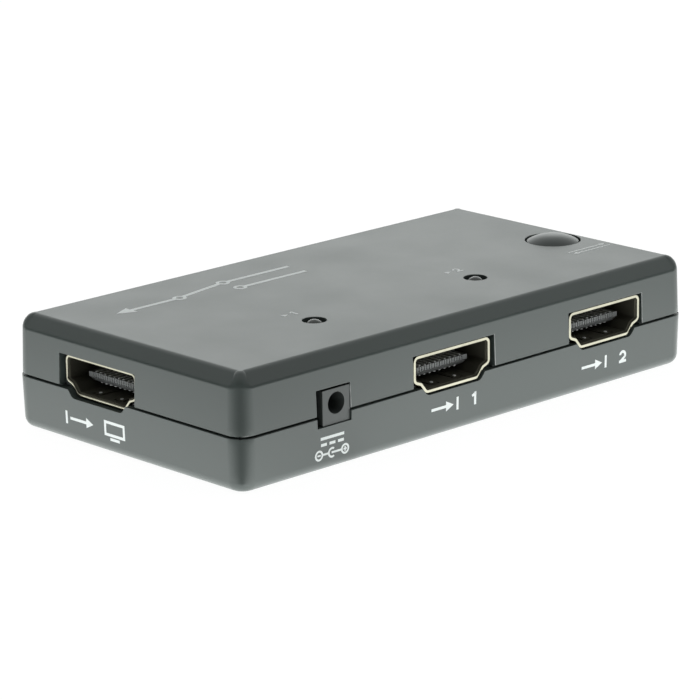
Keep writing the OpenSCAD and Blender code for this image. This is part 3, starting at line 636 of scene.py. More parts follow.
def soften(build: BMesh, radius: float, steps: int, chosen: Callable[[Vector], bool]) -> None:
    """Rounds the sharp edges of a bmesh and marks them for wear; some of these marks are later raised to
    paint highlights.

    Args:
        build: The bmesh.
        radius: Width of the rounding, in millimetres.
        steps: Faces across the rounding.
        chosen: Says whether an edge with that middle point is rounded.
    """
    wear_and_highlight = build.verts.layers.float.new(WEAR_AND_HIGHLIGHT_ATTRIBUTE)
    edges = [
        e
        for e in build.edges
        if len(e.link_faces) == 2
        and e.calc_face_angle(0.0) > SHARP_ANGLE
        and chosen((e.verts[0].co + e.verts[1].co) / 2)
    ]
    rounded = bmesh.ops.bevel(
        build,
        geom=edges,
        offset=radius * MM,
        offset_type="OFFSET",
        segments=steps,
        profile=ROUND_PROFILE,
        affect="EDGES",
        clamp_overlap=False,
    )
    strips = set(rounded["faces"])
    for vert in rounded["verts"]:
        if strips.issuperset(vert.link_faces):
            vert[wear_and_highlight] = 1.0


def softened_copy(
    node: str, name: str, radius: float, chosen: Callable[[Vector], bool], steps: int = 3
) -> Object:
    """Copies a node's mesh as one clean skin with its sharp edges rounded.

    Args:
        node: Name of the node.
        name: Name of the new piece.
        radius: Width of the rounding, in millimetres.
        chosen: Says whether an edge with that middle point is rounded.
        steps: Faces across the rounding.

    Returns:
        The new piece.
    """
    build = bmesh.new()
    build.from_mesh(frame["nodes"][node].data)
    bmesh.ops.remove_doubles(build, verts=build.verts, dist=WELD)
    bmesh.ops.dissolve_limit(build, angle_limit=FLAT_ANGLE, verts=build.verts, edges=build.edges)
    soften(build, radius, steps, chosen)
    return with_even_normals(object_of(name, build))


def lathe(profile: Sequence[Point], place: Vector, steps: int = 96) -> BMesh:
    """Turns a profile about an upright axis.

    Args:
        profile: (radius, height) points in millimetres, from the lower pole to the upper one.
        place: A point on the axis, in metres.
        steps: Faces round the axis.

    Returns:
        A closed bmesh.
    """
    build = bmesh.new()
    rings: list[list[BMVert]] = []
    for radius, height in profile:
        count = steps if radius > 0 else 1
        turns = [2 * math.pi * k / steps for k in range(count)]
        spots = [Vector((radius * math.cos(a), radius * math.sin(a), height)) * MM for a in turns]
        rings.append([build.verts.new(place + spot) for spot in spots])
    for low, high in zip(rings, rings[1:]):
        for k in range(steps):
            turns = ((low, k), (low, k + 1), (high, k + 1), (high, k))
            corners = [ring[m % len(ring)] for ring, m in turns]
            build.faces.new(dict.fromkeys(corners))
    return build


def arc(centre: Point, radius: float, start: float, end: float, steps: int) -> list[Point]:
    """Gives the points of an arc, with its angles in degrees."""
    turns = [math.radians(start + (end - start) * k / steps) for k in range(steps + 1)]
    return [(centre[0] + radius * math.cos(a), centre[1] + radius * math.sin(a)) for a in turns]


def rounded_path(points: Sequence[Point], radius: float, steps: int = 4) -> list[Point]:
    """Rounds the inner corners of an open path.

    Args:
        points: Corners of the path.
        radius: Radius of the bends.
        steps: Straight runs in each bend.

    Returns:
        The path with its bends.
    """
    bent = [points[0]]
    for before, corner, after in zip(points, points[1:], points[2:]):
        at = Vector(corner)
        back = (Vector(before) - at).normalized()
        ahead = (Vector(after) - at).normalized()
        half = back.angle(ahead) / 2
        reach = radius / math.tan(half)
        for k in range(steps + 1):
            share = k / steps
            spot = at + back * reach * (1 - share) ** 2 + ahead * reach * share**2
            bent.append((spot.x, spot.y))
    return [*bent, points[-1]]


def bent_strip(path: Sequence[Point], width: float, thickness: float) -> BMesh:
    """Makes a strip of sheet metal that follows a path drawn in Y and Z.

    Args:
        path: The middle line of the strip, in millimetres.
        width: Width of the strip, in millimetres.
        thickness: Thickness of the strip, in millimetres.

    Returns:
        A closed bmesh, centred on X.
    """
    build = bmesh.new()
    spots = [Vector(p) for p in path]
    rings = []
    for k, spot in enumerate(spots):
        along = (spots[min(k + 1, len(spots) - 1)] - spots[max(k - 1, 0)]).normalized()
        across = Vector((-along.y, along.x)) * thickness / 2
        corners = [(-width / 2, spot - across), (width / 2, spot - across)]
        corners += [(width / 2, spot + across), (-width / 2, spot + across)]
        rings.append([build.verts.new(Vector((x, p.x, p.y)) * MM) for x, p in corners])
    for low, high in zip(rings, rings[1:]):
        for k in range(4):
            build.faces.new([low[k], low[(k + 1) % 4], high[(k + 1) % 4], high[k]])
    build.faces.new(reversed(rings[0]))
    build.faces.new(rings[-1])
    return build


class CopyRows:
    """Geometry Nodes tree that sets copies of a template out in rows, realised and dressed."""

    INPUTS = {
        "Template": "NodeSocketObject",
        "Columns": "NodeSocketInt",
        "Column Pitch": "NodeSocketFloat",
        "Rows": "NodeSocketInt",
        "Row Pitch": "NodeSocketFloat",
        "Material": "NodeSocketMaterial",
    }

    def __init__(self) -> None:
        """Builds the tree with its named inputs."""
        self.tree = bpy.data.node_groups.new("copy_rows", "GeometryNodeTree")
        self.tree.interface.new_socket("Geometry", in_out="INPUT", socket_type="NodeSocketGeometry")
        self.tree.interface.new_socket("Geometry", in_out="OUTPUT", socket_type="NodeSocketGeometry")
        self.sockets = {
            label: self.tree.interface.new_socket(label, in_out="INPUT", socket_type=kind).identifier
            for label, kind in self.INPUTS.items()
        }
        sheet = NodeSheet(self.tree)
        given = sheet.add("NodeGroupInput").outputs
        template = sheet.add(
            "GeometryNodeObjectInfo", {"Object": given["Template"]}, transform_space="ORIGINAL"
        ).outputs["Geometry"]
        row = self._copies(sheet, template, given["Columns"], given["Column Pitch"], "X")
        grid = self._copies(sheet, row, given["Rows"], given["Row Pitch"], "Y")
        real = sheet.add("GeometryNodeRealizeInstances", {"Geometry": grid}).outputs[0]
        dressed = sheet.add("GeometryNodeSetMaterial", {"Geometry": real, "Material": given["Material"]})
        sheet.add("NodeGroupOutput", {"Geometry": dressed.outputs[0]})

    @staticmethod
    def _copies(
        sheet: NodeSheet, shape: NodeSocket, count: NodeSocket, pitch: NodeSocket, axis: str
    ) -> NodeSocket:
        """Sets a shape on a centred line of points.

        Args:
            sheet: The sheet of the tree.
            shape: The geometry to copy.
            count: How many copies.
            pitch: Their spacing.
            axis: X or Y.

        Returns:
            The socket with the copies.
        """
        half_run = sheet.times(sheet.minus(count, 1.0), sheet.times(pitch, -0.5))
        start = sheet.add("ShaderNodeCombineXYZ", {axis: half_run})
        step = sheet.add("ShaderNodeCombineXYZ", {axis: pitch})
        line = sheet.add(
            "GeometryNodeMeshLine",
            {"Count": count, "Start Location": start.outputs[0], "Offset": step.outputs[0]},
            mode="OFFSET",
        )
        placed = sheet.add("GeometryNodeInstanceOnPoints", {"Points": line.outputs[0], "Instance": shape})
        return placed.outputs[0]

    def grow(
        self, name: str, template: Object, columns: Point, rows: Point, material: Material
    ) -> Mesh:
        """Makes a plain mesh of rows of copies.

        Args:
            name: Name of the mesh.
            template: The object to copy, which is removed.
            columns: How many copies along X, and their pitch in millimetres.
            rows: How many rows along Y, and their pitch in millimetres.
            material: Material of the copies.

        Returns:
            The realised mesh, centred on the origin.
        """
        carrier = new_object(name, bpy.data.meshes.new(name))
        growth = carrier.modifiers.new("rows", "NODES")
        growth.node_group = self.tree
        values = {
            "Template": template,
            "Columns": int(columns[0]),
            "Column Pitch": columns[1] * MM,
            "Rows": int(rows[0]),
            "Row Pitch": rows[1] * MM,
            "Material": material,
        }
        for label, value in values.items():
            growth[self.sockets[label]] = value
        mesh = plain(carrier).data.copy()
        bpy.data.objects.remove(carrier)
        bpy.data.objects.remove(template)
        return mesh


def joined(name: str, meshes: Sequence[Mesh], place: Matrix) -> Object:
    """Joins meshes of one material into a piece.

    Args:
        name: Name of the piece.
        meshes: The meshes, which are removed.
        place: Where the piece goes.

    Returns:
        The piece, with its place in its mesh.
    """
    build = bmesh.new()
    material = meshes[0].materials[0]
    for mesh in meshes:
        build.from_mesh(mesh)
        bpy.data.meshes.remove(mesh)
    made = object_of(name, build)
    made.data.transform(place)
    made.data.materials.append(material)
    return with_even_normals(made)


def dress(obj: Object, material: Material) -> None:
    """Gives an object one material."""
    obj.data.materials.clear()
    obj.data.materials.append(material)


def seat(obj: Object, body: Body, slot: Slot, *nodes: str) -> None:
    """Sets a finished piece on its body, and hides the nodes that it stands for.

    Args:
        obj: The piece.
        body: The body that it rides on.
        slot: The material slot that it takes its finish from; not used.
        nodes: The nodes that it stands for.
    """
    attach(obj, body.value)
    if nodes:
        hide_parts(*nodes)
    LOG.info("%s: %d faces on %s", obj.name, len(obj.data.polygons), body.value)


@dataclass
class Housing:
    """The two moulded shells and the screws that hold them together."""

    palette: Palette
    rows: CopyRows
    edge: float = 0.1
    skin: float = 0.75
    notch_reach: float = 1.1
    # Painted highlight on the cut-outs' right-hand edges: the mark that it takes, and how far an edge's
    # normal turns aside.
    edge_highlight: float = 40.0
    highlight_turn: float = 0.35
    corner_in: float = 2.7
    corner_r: float = 2.49
    crown_r: float = 0.6
    crown_h: float = 2.25
    inside_r: float = 1.245
    inside_climb: float = 0.2
    head_r: float = 2.2
    head_h: float = 1.6
    dome_h: float = 0.5
    dome_steps: int = 6
    round_steps: int = 32
    shank_r: float = 1.25
    thread_pitch: float = 1.1
    thread_depth: float = 0.25
    recess_w: float = 0.75
    recess_len: float = 2.6
    recess_h: float = 0.9
    recess_taper: float = 0.7
    recess_voxel: float = 0.06

    def on_skin(self, node: str, crisp: Sequence[str]) -> Callable[[Vector], bool]:
        """Gives a test for points that lie on the outside of a shell.

        Args:
            node: Name of the shell's node.
            crisp: Nodes round which the shell's edges stay crisp.

        Returns:
            A function that says whether a point lies within the skin's depth of the box's outside.
        """
        low, high = cad_box
        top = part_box(node)[1].z
        depth = self.skin * MM
        reach = Vector((1, 1, 1)) * self.notch_reach * MM
        notches = [(start - reach, end + reach) for start, end in map(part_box, crisp)]

        def outside(spot: Vector) -> bool:
            """Says whether a point lies on the outside, clear of the crisp notches."""
            if any(all(a[k] < spot[k] < b[k] for k in range(3)) for a, b in notches):
                return False
            sides = min(spot.x - low.x, high.x - spot.x, spot.y - low.y, high.y - spot.y)
            return sides < depth or spot.z > top - depth / 2 or spot.z < depth / 2

        return outside

    def build(self) -> None:
        """Builds the shells and the screws."""
        fitted = [f"{port}_shell" for port in ("input_1", "input_2", "output")] + ["power_jack_body"]
        shells = (("lower_shell", "lower_case", fitted), ("upper_shell", "upper_case", []))
        for node, name, crisp in shells:
            shell = softened_copy(node, name, self.edge, self.on_skin(node, crisp))
            if not crisp:
                # Paints light highlights on the right-hand edges of the front cut-outs.
                self.paint_edge_highlights(shell.data)
                self.fill_corners(shell.data)
                with_even_normals(shell)
            dress(shell, self.palette[Slot.SHELL])
            seat(shell, Body.HOUSING, Slot.SHELL, node)
        self.build_screws()

    def paint_edge_highlights(self, mesh: Mesh) -> None:
        """Raises the mark on the right-hand edges of the front cut-outs, which paints a light highlight along
        them.

        Args:
            mesh: A shell's mesh, with its rounded edges marked for wear.
        """
        front = cad_box[0].y + self.skin * MM
        for vert, mark in zip(mesh.vertices, mesh.attributes[WEAR_AND_HIGHLIGHT_ATTRIBUTE].data):
            turned = max(vert.normal.x, vert.normal.y) < -self.highlight_turn
            if mark.value and turned and vert.co.y < front:
                # The raised mark paints the edge light, as a highlight.
                mark.value = self.edge_highlight

    def fill_corners(self, mesh: Mesh) -> None:
        """Rounds the bevel at the box's four corners, from the wall up to the top.

        Args:
            mesh: The upper shell's mesh, whose bevel runs round each corner's upright axis.
        """
        low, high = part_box("upper_shell")
        inset = self.corner_in * MM
        for vert in mesh.vertices:
            axis = [min(max(vert.co[k], low[k] + inset), high[k] - inset) for k in range(2)]
            out = Vector((vert.co.x - axis[0], vert.co.y - axis[1])) / MM
            climb = 1 - (high.z - vert.co.z) / MM / self.crown_h
            inside = climb < self.inside_climb and out.length < self.inside_r
            if not (out.x and out.y) or climb <= 0 or inside:
                continue
            full = self.crown_r + (self.corner_r - self.crown_r) * math.sqrt(max(0.0, 1 - climb**2))
            share = 2 * abs(out.x * out.y) / out.length_squared
            grown = out * (1 + share * max(0.0, full / out.length - 1))
            vert.co.xy = [axis[k] + grown[k] * MM for k in range(2)]

    def build_screws(self) -> None:
        """Builds the four cross-headed screws under the corner posts."""
        low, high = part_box("housing_screws")
        reach = self.head_r * MM
        spacing = [(high[k] - low[k] - 2 * reach) / MM for k in range(2)]
        screw = self.screw((high.z - low.z) / MM)
        name = "housing_screw_set"
        steel = self.palette[Slot.SCREW]
        mesh = self.rows.grow(name, screw, (2, spacing[0]), (2, spacing[1]), steel)
        middle = (low + high) / 2
        piece = joined(name, [mesh], Matrix.Translation((middle.x, middle.y, low.z)))
        seat(piece, Body.HOUSING, Slot.SCREW, "housing_screws")

    def screw(self, length: float) -> Object:
        """Makes one screw that points up, with its head's lowest point at the origin.

        Args:
            length: Length over the head and the shank, in millimetres.

        Returns:
            The screw's object.
        """
        head = arc((0.0, self.dome_h), 1.0, -90, 0, self.dome_steps)
        profile = [(self.head_r * r, self.dome_h + (z - self.dome_h) * self.dome_h) for r, z in head]
        profile += [(self.head_r, self.head_h), (self.shank_r, self.head_h)]
        ridge = self.head_h + self.thread_pitch
        while ridge < length - self.thread_pitch:
            profile.append((self.shank_r - self.thread_depth, ridge))
            profile.append((self.shank_r, ridge + self.thread_pitch / 2))
            ridge += self.thread_pitch
        profile += [(self.shank_r - self.thread_depth, length), (0.0, length)]
        screw = object_of("screw_template", lathe(profile, Vector(), self.round_steps))
        cutter = self.cross_recess()
        cut = screw.modifiers.new("recess", "BOOLEAN")
        cut.object = cutter
        plain(screw)
        bpy.data.objects.remove(cutter)
        return screw

    def cross_recess(self) -> Object:
        """Makes the cutter of a screw's cross recess, tapered towards its floor.

        Returns:
            The cutter's object.
        """
        build = bmesh.new()
        for turn in (0, math.pi / 2):
            bar = bmesh.ops.create_cube(build, size=1.0)["verts"]
            for vert in bar:
                taper = self.recess_taper if vert.co.z > 0 else 1.0
                size = Vector((self.recess_len * taper, self.recess_w * taper, 2 * self.recess_h))
                vert.co = Matrix.Rotation(turn, 3, "Z") @ (vert.co * size * MM)
        cutter = object_of("recess_cutter", build)
        union = cutter.modifiers.new("solid", "REMESH")
        union.mode = "VOXEL"
        union.voxel_size = self.recess_voxel * MM
        return plain(cutter)


@dataclass
class VideoPort:
    """A port: plated shell with a rolled rim, spring dimples, insulator and two rows of contacts."""

    name: str
    turn: float
    palette: Palette
    rows: CopyRows
    rim_edge: float = 0.05
    flare_len: float = 0.4
    flare_start: float = 0.2
    step_slack: float = 0.02
    step_run: float = 0.1
    # Depth over which the plating behind the rim turns rougher and darker as painted shade.
    dull_and_shade_run: float = 0.04
    contact_w: float = 0.3
    contact_t: float = 0.12
    contact_pitch: float = 1.0
    upper_count: int = 10
    lower_count: int = 9
    contact_setback: float = 0.35
    tongue_t: float = 1.5
    tongue_bevel: float = 0.9
    foot: float = 0.8
    bend_r: float = 0.1
    spring_pitch: float = 4.6
    spring_crown: float = 1.9
    spring_rise: float = 0.1
    floor_lift: float = 1.0
    dimple_r: float = 0.26
    dimple_h: float = 0.1
    dimple_end: float = 80.0
    dimple_steps: int = 5
    round_steps: int = 24

    def __post_init__(self) -> None:
        """Finds the port's place, the middle of its mouth on the board's top face, and the way back."""
        low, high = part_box(f"{self.name}_shell")
        middle = (low + high) / 2
        board_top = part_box("circuit_board")[1].z
        mouth = (low.x, middle.y) if self.turn else (middle.x, low.y)
        self.place = Matrix.Translation((*mouth, board_top)) @ Matrix.Rotation(self.turn, 4, "Z")
        self.back = self.place.inverted()

    def local_box(self, node: str) -> tuple[Vector, Vector]:
        """Gives a node's box in the port's own frame, in millimetres.

        Args:
            node: Name of the node.

        Returns:
            The lowest and the highest corner.
        """
        corners = [self.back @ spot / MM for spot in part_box(node)]
        return (
            Vector([min(c[k] for c in corners) for k in range(3)]),
            Vector([max(c[k] for c in corners) for k in range(3)]),
        )

    def build(self) -> None:
        """Builds the port's pieces."""
        self.build_shell()
        self.build_contacts()
        self.build_dimples()

    def build_shell(self) -> None:
        """Builds the plated shell with its rolled rim and flared mouth."""
        depth = self.rim_edge * MM / 2
        node = f"{self.name}_shell"
        shell = softened_copy(
            node, f"{self.name}_socket", self.rim_edge, lambda spot: (self.back @ spot).y < depth
        )
        self.slope_flare(shell.data)
        # Paints shade into the plating behind the rim, and makes it rougher.
        self.dull_and_shade_inside(shell.data)
        dress(shell, self.palette[Slot.PLATED])
        seat(shell, Body.HOUSING, Slot.PLATED, node)

    def slope_flare(self, mesh: Mesh) -> None:
        """Turns the step behind the mouth into a sloping flare.

        Args:
            mesh: The shell's mesh, whose step lies at the flare's depth.
        """
        build = bmesh.new()
        build.from_mesh(mesh)
        for vert in build.verts:
            spot = self.back @ vert.co / MM
            ahead = min((self.back @ e.other_vert(vert).co / MM).y for e in vert.link_edges)
            on_step = abs(spot.y - self.flare_len) < self.step_slack
            if on_step and ahead < self.flare_len - self.step_run:
                vert.co = self.place @ (Vector((spot.x, self.flare_start, spot.z)) * MM)
        build.to_mesh(mesh)
        build.free()

    def dull_and_shade_inside(self, mesh: Mesh) -> None:
        """Marks the plating behind the rounded rim as rougher and darker, the darkening being painted shade
        inside the mouth.

        Args:
            mesh: The shell's mesh.
        """
        marks = mesh.attributes.new(DULL_AND_SHADE_ATTRIBUTE, "FLOAT", "POINT").data
        for vert, mark in zip(mesh.vertices, marks):
            depth = (self.back @ vert.co).y / MM - self.rim_edge
            mark.value = min(1.0, max(0.0, depth / self.dull_and_shade_run))

    def build_contacts(self) -> None:
        """Builds the comb of contacts: one row on the tongue, the other row under it."""
        low, high = self.local_box(f"{self.name}_contacts")
        half = self.contact_t / 2
        rear = high.y - self.foot + half
        over = high.z - half
        under = high.z - self.contact_t - self.tongue_t - half
        upper = [(low.y, over), (rear, over), (rear, half), (high.y, half)]
        bevel_end = low.y - self.contact_setback + self.tongue_bevel
        lower = [(bevel_end, under), (rear, under), (rear, half), (high.y, half)]
        meshes = []
        metal = self.palette[Slot.CONTACT]
        for path, count in ((upper, self.upper_count), (lower, self.lower_count)):
            strip = bent_strip(rounded_path(path, self.bend_r), self.contact_w, self.contact_t)
            template = object_of("contact_template", strip)
            meshes.append(self.rows.grow("contact_row", template, (count, self.contact_pitch), (1, 0), metal))
        comb = joined(f"{self.name}_comb", meshes, self.place)
        seat(comb, Body.HOUSING, Slot.CONTACT, f"{self.name}_contacts")

    def build_dimples(self) -> None:
        """Builds the dimple on the crown of each spring finger in the port's floor."""
        dome = [(0.0, -self.dimple_h), (self.dimple_r, -self.dimple_h)]
        turns = arc((0.0, 0.0), 1.0, 0, self.dimple_end, self.dimple_steps)
        dome += [(self.dimple_r * x, self.dimple_h * z) for x, z in turns]
        dome.append((0.0, self.dimple_h))
        template = object_of("dimple_template", lathe(dome, Vector(), self.round_steps))
        metal = self.palette[Slot.PLATED]
        mesh = self.rows.grow("dimples", template, (2, self.spring_pitch), (1, 0), metal)
        crown = Vector((0.0, self.spring_crown, self.floor_lift + self.spring_rise)) * MM
        piece = joined(f"{self.name}_spring_dimples", [mesh], self.place @ Matrix.Translation(crown))
        seat(piece, Body.HOUSING, Slot.PLATED)


@dataclass
class PowerJack:
    """The power jack's body with softened edges."""

    palette: Palette
    edge: float = 0.02

    def build(self) -> None:
        """Builds the body."""
        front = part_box("power_jack_body")[0].y + 2 * self.edge * MM
        body = softened_copy("power_jack_body", "jack_block", self.edge, lambda spot: spot.y < front)
        dress(body, self.palette[Slot.JACK])
        seat(body, Body.HOUSING, Slot.JACK, "power_jack_body")


@dataclass
class SelectButton:
    """The domed cap of the select button, with its flange and stem."""

    palette: Palette
    flange_run: float = 0.6
    flange_t: float = 1.0
    stem_r: float = 1.6
    rise: float = 1.0
    sink: float = 0.15
    fullness: float = 2.4
    rim_r: float = 0.2
    rim_drop: float = 0.7
    rim_steps: int = 6
    flange_slack: float = 0.05
    dome_steps: int = 20

    def build(self) -> None:
        """Builds the cap as one turned piece."""
        low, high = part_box("select_button")
        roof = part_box("upper_shell")[1].z
        axis = Vector(((low.x + high.x) / 2, (low.y + high.y) / 2, 0.0))
        flange_r = (high.x - low.x) / 2 / MM
        cap_r = flange_r - self.flange_run
        foot = low.z / MM
        rim = roof / MM - self.sink
        flange_low = self.flange_base()
        flange_top = flange_low + self.flange_t
        profile = [(0.0, foot), (self.stem_r, foot), (self.stem_r, flange_low), (flange_r, flange_low)]
        profile += [(flange_r, flange_top), (cap_r, flange_top)]
        slope = math.degrees(math.atan2(2 * self.rise, cap_r))
        bend = (cap_r - self.rim_r, rim - self.rim_r * self.rim_drop)
        shoulder = arc(bend, self.rim_r, 0, 90 - slope, self.rim_steps)
        profile += shoulder
        crown = shoulder[-1]
        for k in range(1, self.dome_steps + 1):
            radius = crown[0] * (1 - k / self.dome_steps)
            share = (radius / crown[0]) ** self.fullness
            profile.append((radius, crown[1] + (high.z / MM - crown[1]) * (1 - share)))
        cap = with_even_normals(object_of("select_cap", lathe(profile, axis)))
        dress(cap, self.palette[Slot.BUTTON])
        seat(cap, Body.BUTTON, Slot.BUTTON, "select_button")

    def flange_base(self) -> float:
        """Finds the underside of the flange in the node's mesh, in millimetres.

        Returns:
            Height of the flange's underside.
        """
        mesh = frame["nodes"]["select_button"].data
        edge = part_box("select_button")[1].x - self.flange_slack * MM
        return min(v.co.z for v in mesh.vertices if v.co.x > edge) / MM


@dataclass
class IndicatorLamp:
    """A domed lamp in smoky epoxy."""

    node: str
    palette: Palette
    dome_r: float = 1.5
    rim_h: float = 1.0
    dome_end: float = 84.0
    dome_steps: int = 14
    round_steps: int = 64

    def build(self) -> None:
        """Builds the lens as one turned piece."""
        low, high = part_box(self.node)
        axis = Vector(((low.x + high.x) / 2, (low.y + high.y) / 2, 0.0))
        rim_r = (high.x - low.x) / 2 / MM
        base = low.z / MM
        tip = high.z / MM
        ledge = base + self.rim_h
        profile = [(0.0, base), (rim_r, base), (rim_r, ledge), (self.dome_r, ledge)]
        profile += arc((0.0, tip - self.dome_r), self.dome_r, 0, self.dome_end, self.dome_steps)
        profile.append((0.0, tip))
        name = self.node.replace("lens", "dome")
        lens = with_even_normals(object_of(name, lathe(profile, axis, self.round_steps)))
        dress(lens, self.palette[Slot.LAMP])
        seat(lens, Body.HOUSING, Slot.LAMP, self.node)


class Stencil:
    """Flat shapes of one printed mark, drawn in millimetres to the right and up."""

    RING_STEP = 12
    FEWEST_STEPS = 4
    STEM_AT = 0.32
    FLAG_AT = 0.72
    FLAG_THIN = 0.9
    BOWL_R = 0.29
    BOWL_START = 170
    BOWL_END = -35
    TAIL_IN = 0.6

    def __init__(self) -> None:
        """Opens an empty stencil."""
        self.shapes: list[list[Point]] = []

    def polygon(self, points: Sequence[Point]) -> None:
        """Adds a filled outline."""
        self.shapes.append(list(points))

    def bar(self, start: Point, end: Point, width: float) -> None:
        """Adds a straight stroke.

        Args:
            start: Where the stroke starts.
            end: Where it ends.
            width: Its width.
        """
        run = Vector(end) - Vector(start)
        side = Vector((-run.y, run.x)).normalized() * width / 2
        ends = [Vector(start) - side, Vector(end) - side, Vector(end) + side, Vector(start) + side]
        self.polygon([(p.x, p.y) for p in ends])

    def ring(
        self, centre: Point, radius: float, width: float, start: float = 0.0, end: float = 360.0
    ) -> None:
        """Adds a round stroke between two angles, in degrees.

        Args:
            centre: Centre of the ring.
            radius: Radius of the stroke's middle line.
            width: Width of the stroke.
            start: Angle that the stroke starts at.
            end: Angle that it ends at.
        """
        steps = max(self.FEWEST_STEPS, round(abs(end - start) / self.RING_STEP))
        outer = arc(centre, radius + width / 2, start, end, steps)
        inner = arc(centre, radius - width / 2, start, end, steps)
        for k in range(steps):
            self.polygon([inner[k], outer[k], outer[k + 1], inner[k + 1]])

    def arrow(self, start: Point, end: Point, width: float, head: float) -> None:
        """Adds a stroke that ends in a filled head.

        Args:
            start: Where the stroke starts.
            end: The arrow's tip.
            width: Width of the stroke.
            head: Length and width of the head.
        """
        tip = Vector(end)
        along = (tip - Vector(start)).normalized()
        side = Vector((-along.y, along.x)) * head / 2
        neck = tip - along * head
        self.bar(start, (neck.x, neck.y), width)
        self.polygon([(p.x, p.y) for p in (neck - side, tip, neck + side)])

    def digit(self, number: int, corner: Point, height: float, width: float) -> None:
        """Adds a plain numeral.

        Args:
            number: The numeral, 1 or 2.
            corner: Its lower left corner.
            height: Its height.
            width: Width of its strokes.
        """
        x, y = corner
        if number == 1:
            stem = x + height * self.STEM_AT
            flag = (x, y + height * self.FLAG_AT)
            self.bar((stem, y), (stem, y + height), width)
            self.bar((stem, y + height - width / 2), flag, width * self.FLAG_THIN)
            return
        radius = height * self.BOWL_R
        centre = (x + radius + width / 2, y + height - radius - width / 2)
        self.ring(centre, radius, width, self.BOWL_START, self.BOWL_END)
        knee = arc(centre, radius, self.BOWL_END, self.BOWL_END, 1)[0]
        self.bar(knee, (x + width * self.TAIL_IN, y + width / 2), width)
        self.bar((x, y + width / 2), (x + 2 * radius + width, y + width / 2), width)


@dataclass
class PrintedMark:
    """A printed mark that lies on a face of a shell as a thin coat of ink."""

    name: str
    side: Side
    centre: Point
    stencil: Stencil
    coat: float = 0.012
    root: float = 0.02

    def build(self, carrier: Object, ink: Material) -> None:
        """Lays the mark on its carrier.

        Args:
            carrier: The shell that carries the mark.
            ink: Material of the ink.
        """
        right, up, outward = (Vector(v) for v in self.side.value)
        skin = BVHTree.FromObject(carrier, bpy.context.evaluated_depsgraph_get())
        build = bmesh.new()
        for shape in self.stencil.shapes:
            spots = [right * (x + self.centre[0]) * MM + up * (y + self.centre[1]) * MM for x, y in shape]
            rings = []
            for lift in (-self.root, self.coat):
                rings.append([build.verts.new(self.landed(skin, s, outward, lift)) for s in spots])
            build.faces.new(reversed(rings[0]))
            build.faces.new(rings[1])
            for k in range(len(spots)):
                nxt = (k + 1) % len(spots)
                build.faces.new([rings[0][k], rings[0][nxt], rings[1][nxt], rings[1][k]])
        made = object_of(self.name, build)
        dress(made, ink)
        seat(made, Body.HOUSING, Slot.SHELL)

    def landed(self, skin: BVHTree, spot: Vector, outward: Vector, lift: float) -> Vector:
        """Drops a point onto the shell.

        Args:
            skin: The shell's surface.
            spot: A point in the plane through the origin.
            outward: The direction that the face looks in.
            lift: Height above the surface, in millimetres.

        Returns:
            The point on the surface, lifted.
        """
        hit = skin.ray_cast(spot + outward, -outward)[0]
        return hit + outward * lift * MM


@dataclass(frozen=True)
class Quarter:
    """A quarter of the surroundings, with its brightness on the floor, low down and half way up."""

    toward: Point
    floor: float
    low: float
    half_way: float


QUARTERS = (
    Quarter((0.69, 0.73), floor=1.45, low=1.6, half_way=0.87),
    Quarter((0.69, -0.73), floor=2.1, low=0.1, half_way=0.62),
    Quarter((-0.69, 0.73), floor=1.55, low=0.03, half_way=0.48),
    Quarter((-0.69, -0.73), floor=0.07, low=0.03, half_way=0.15),
)


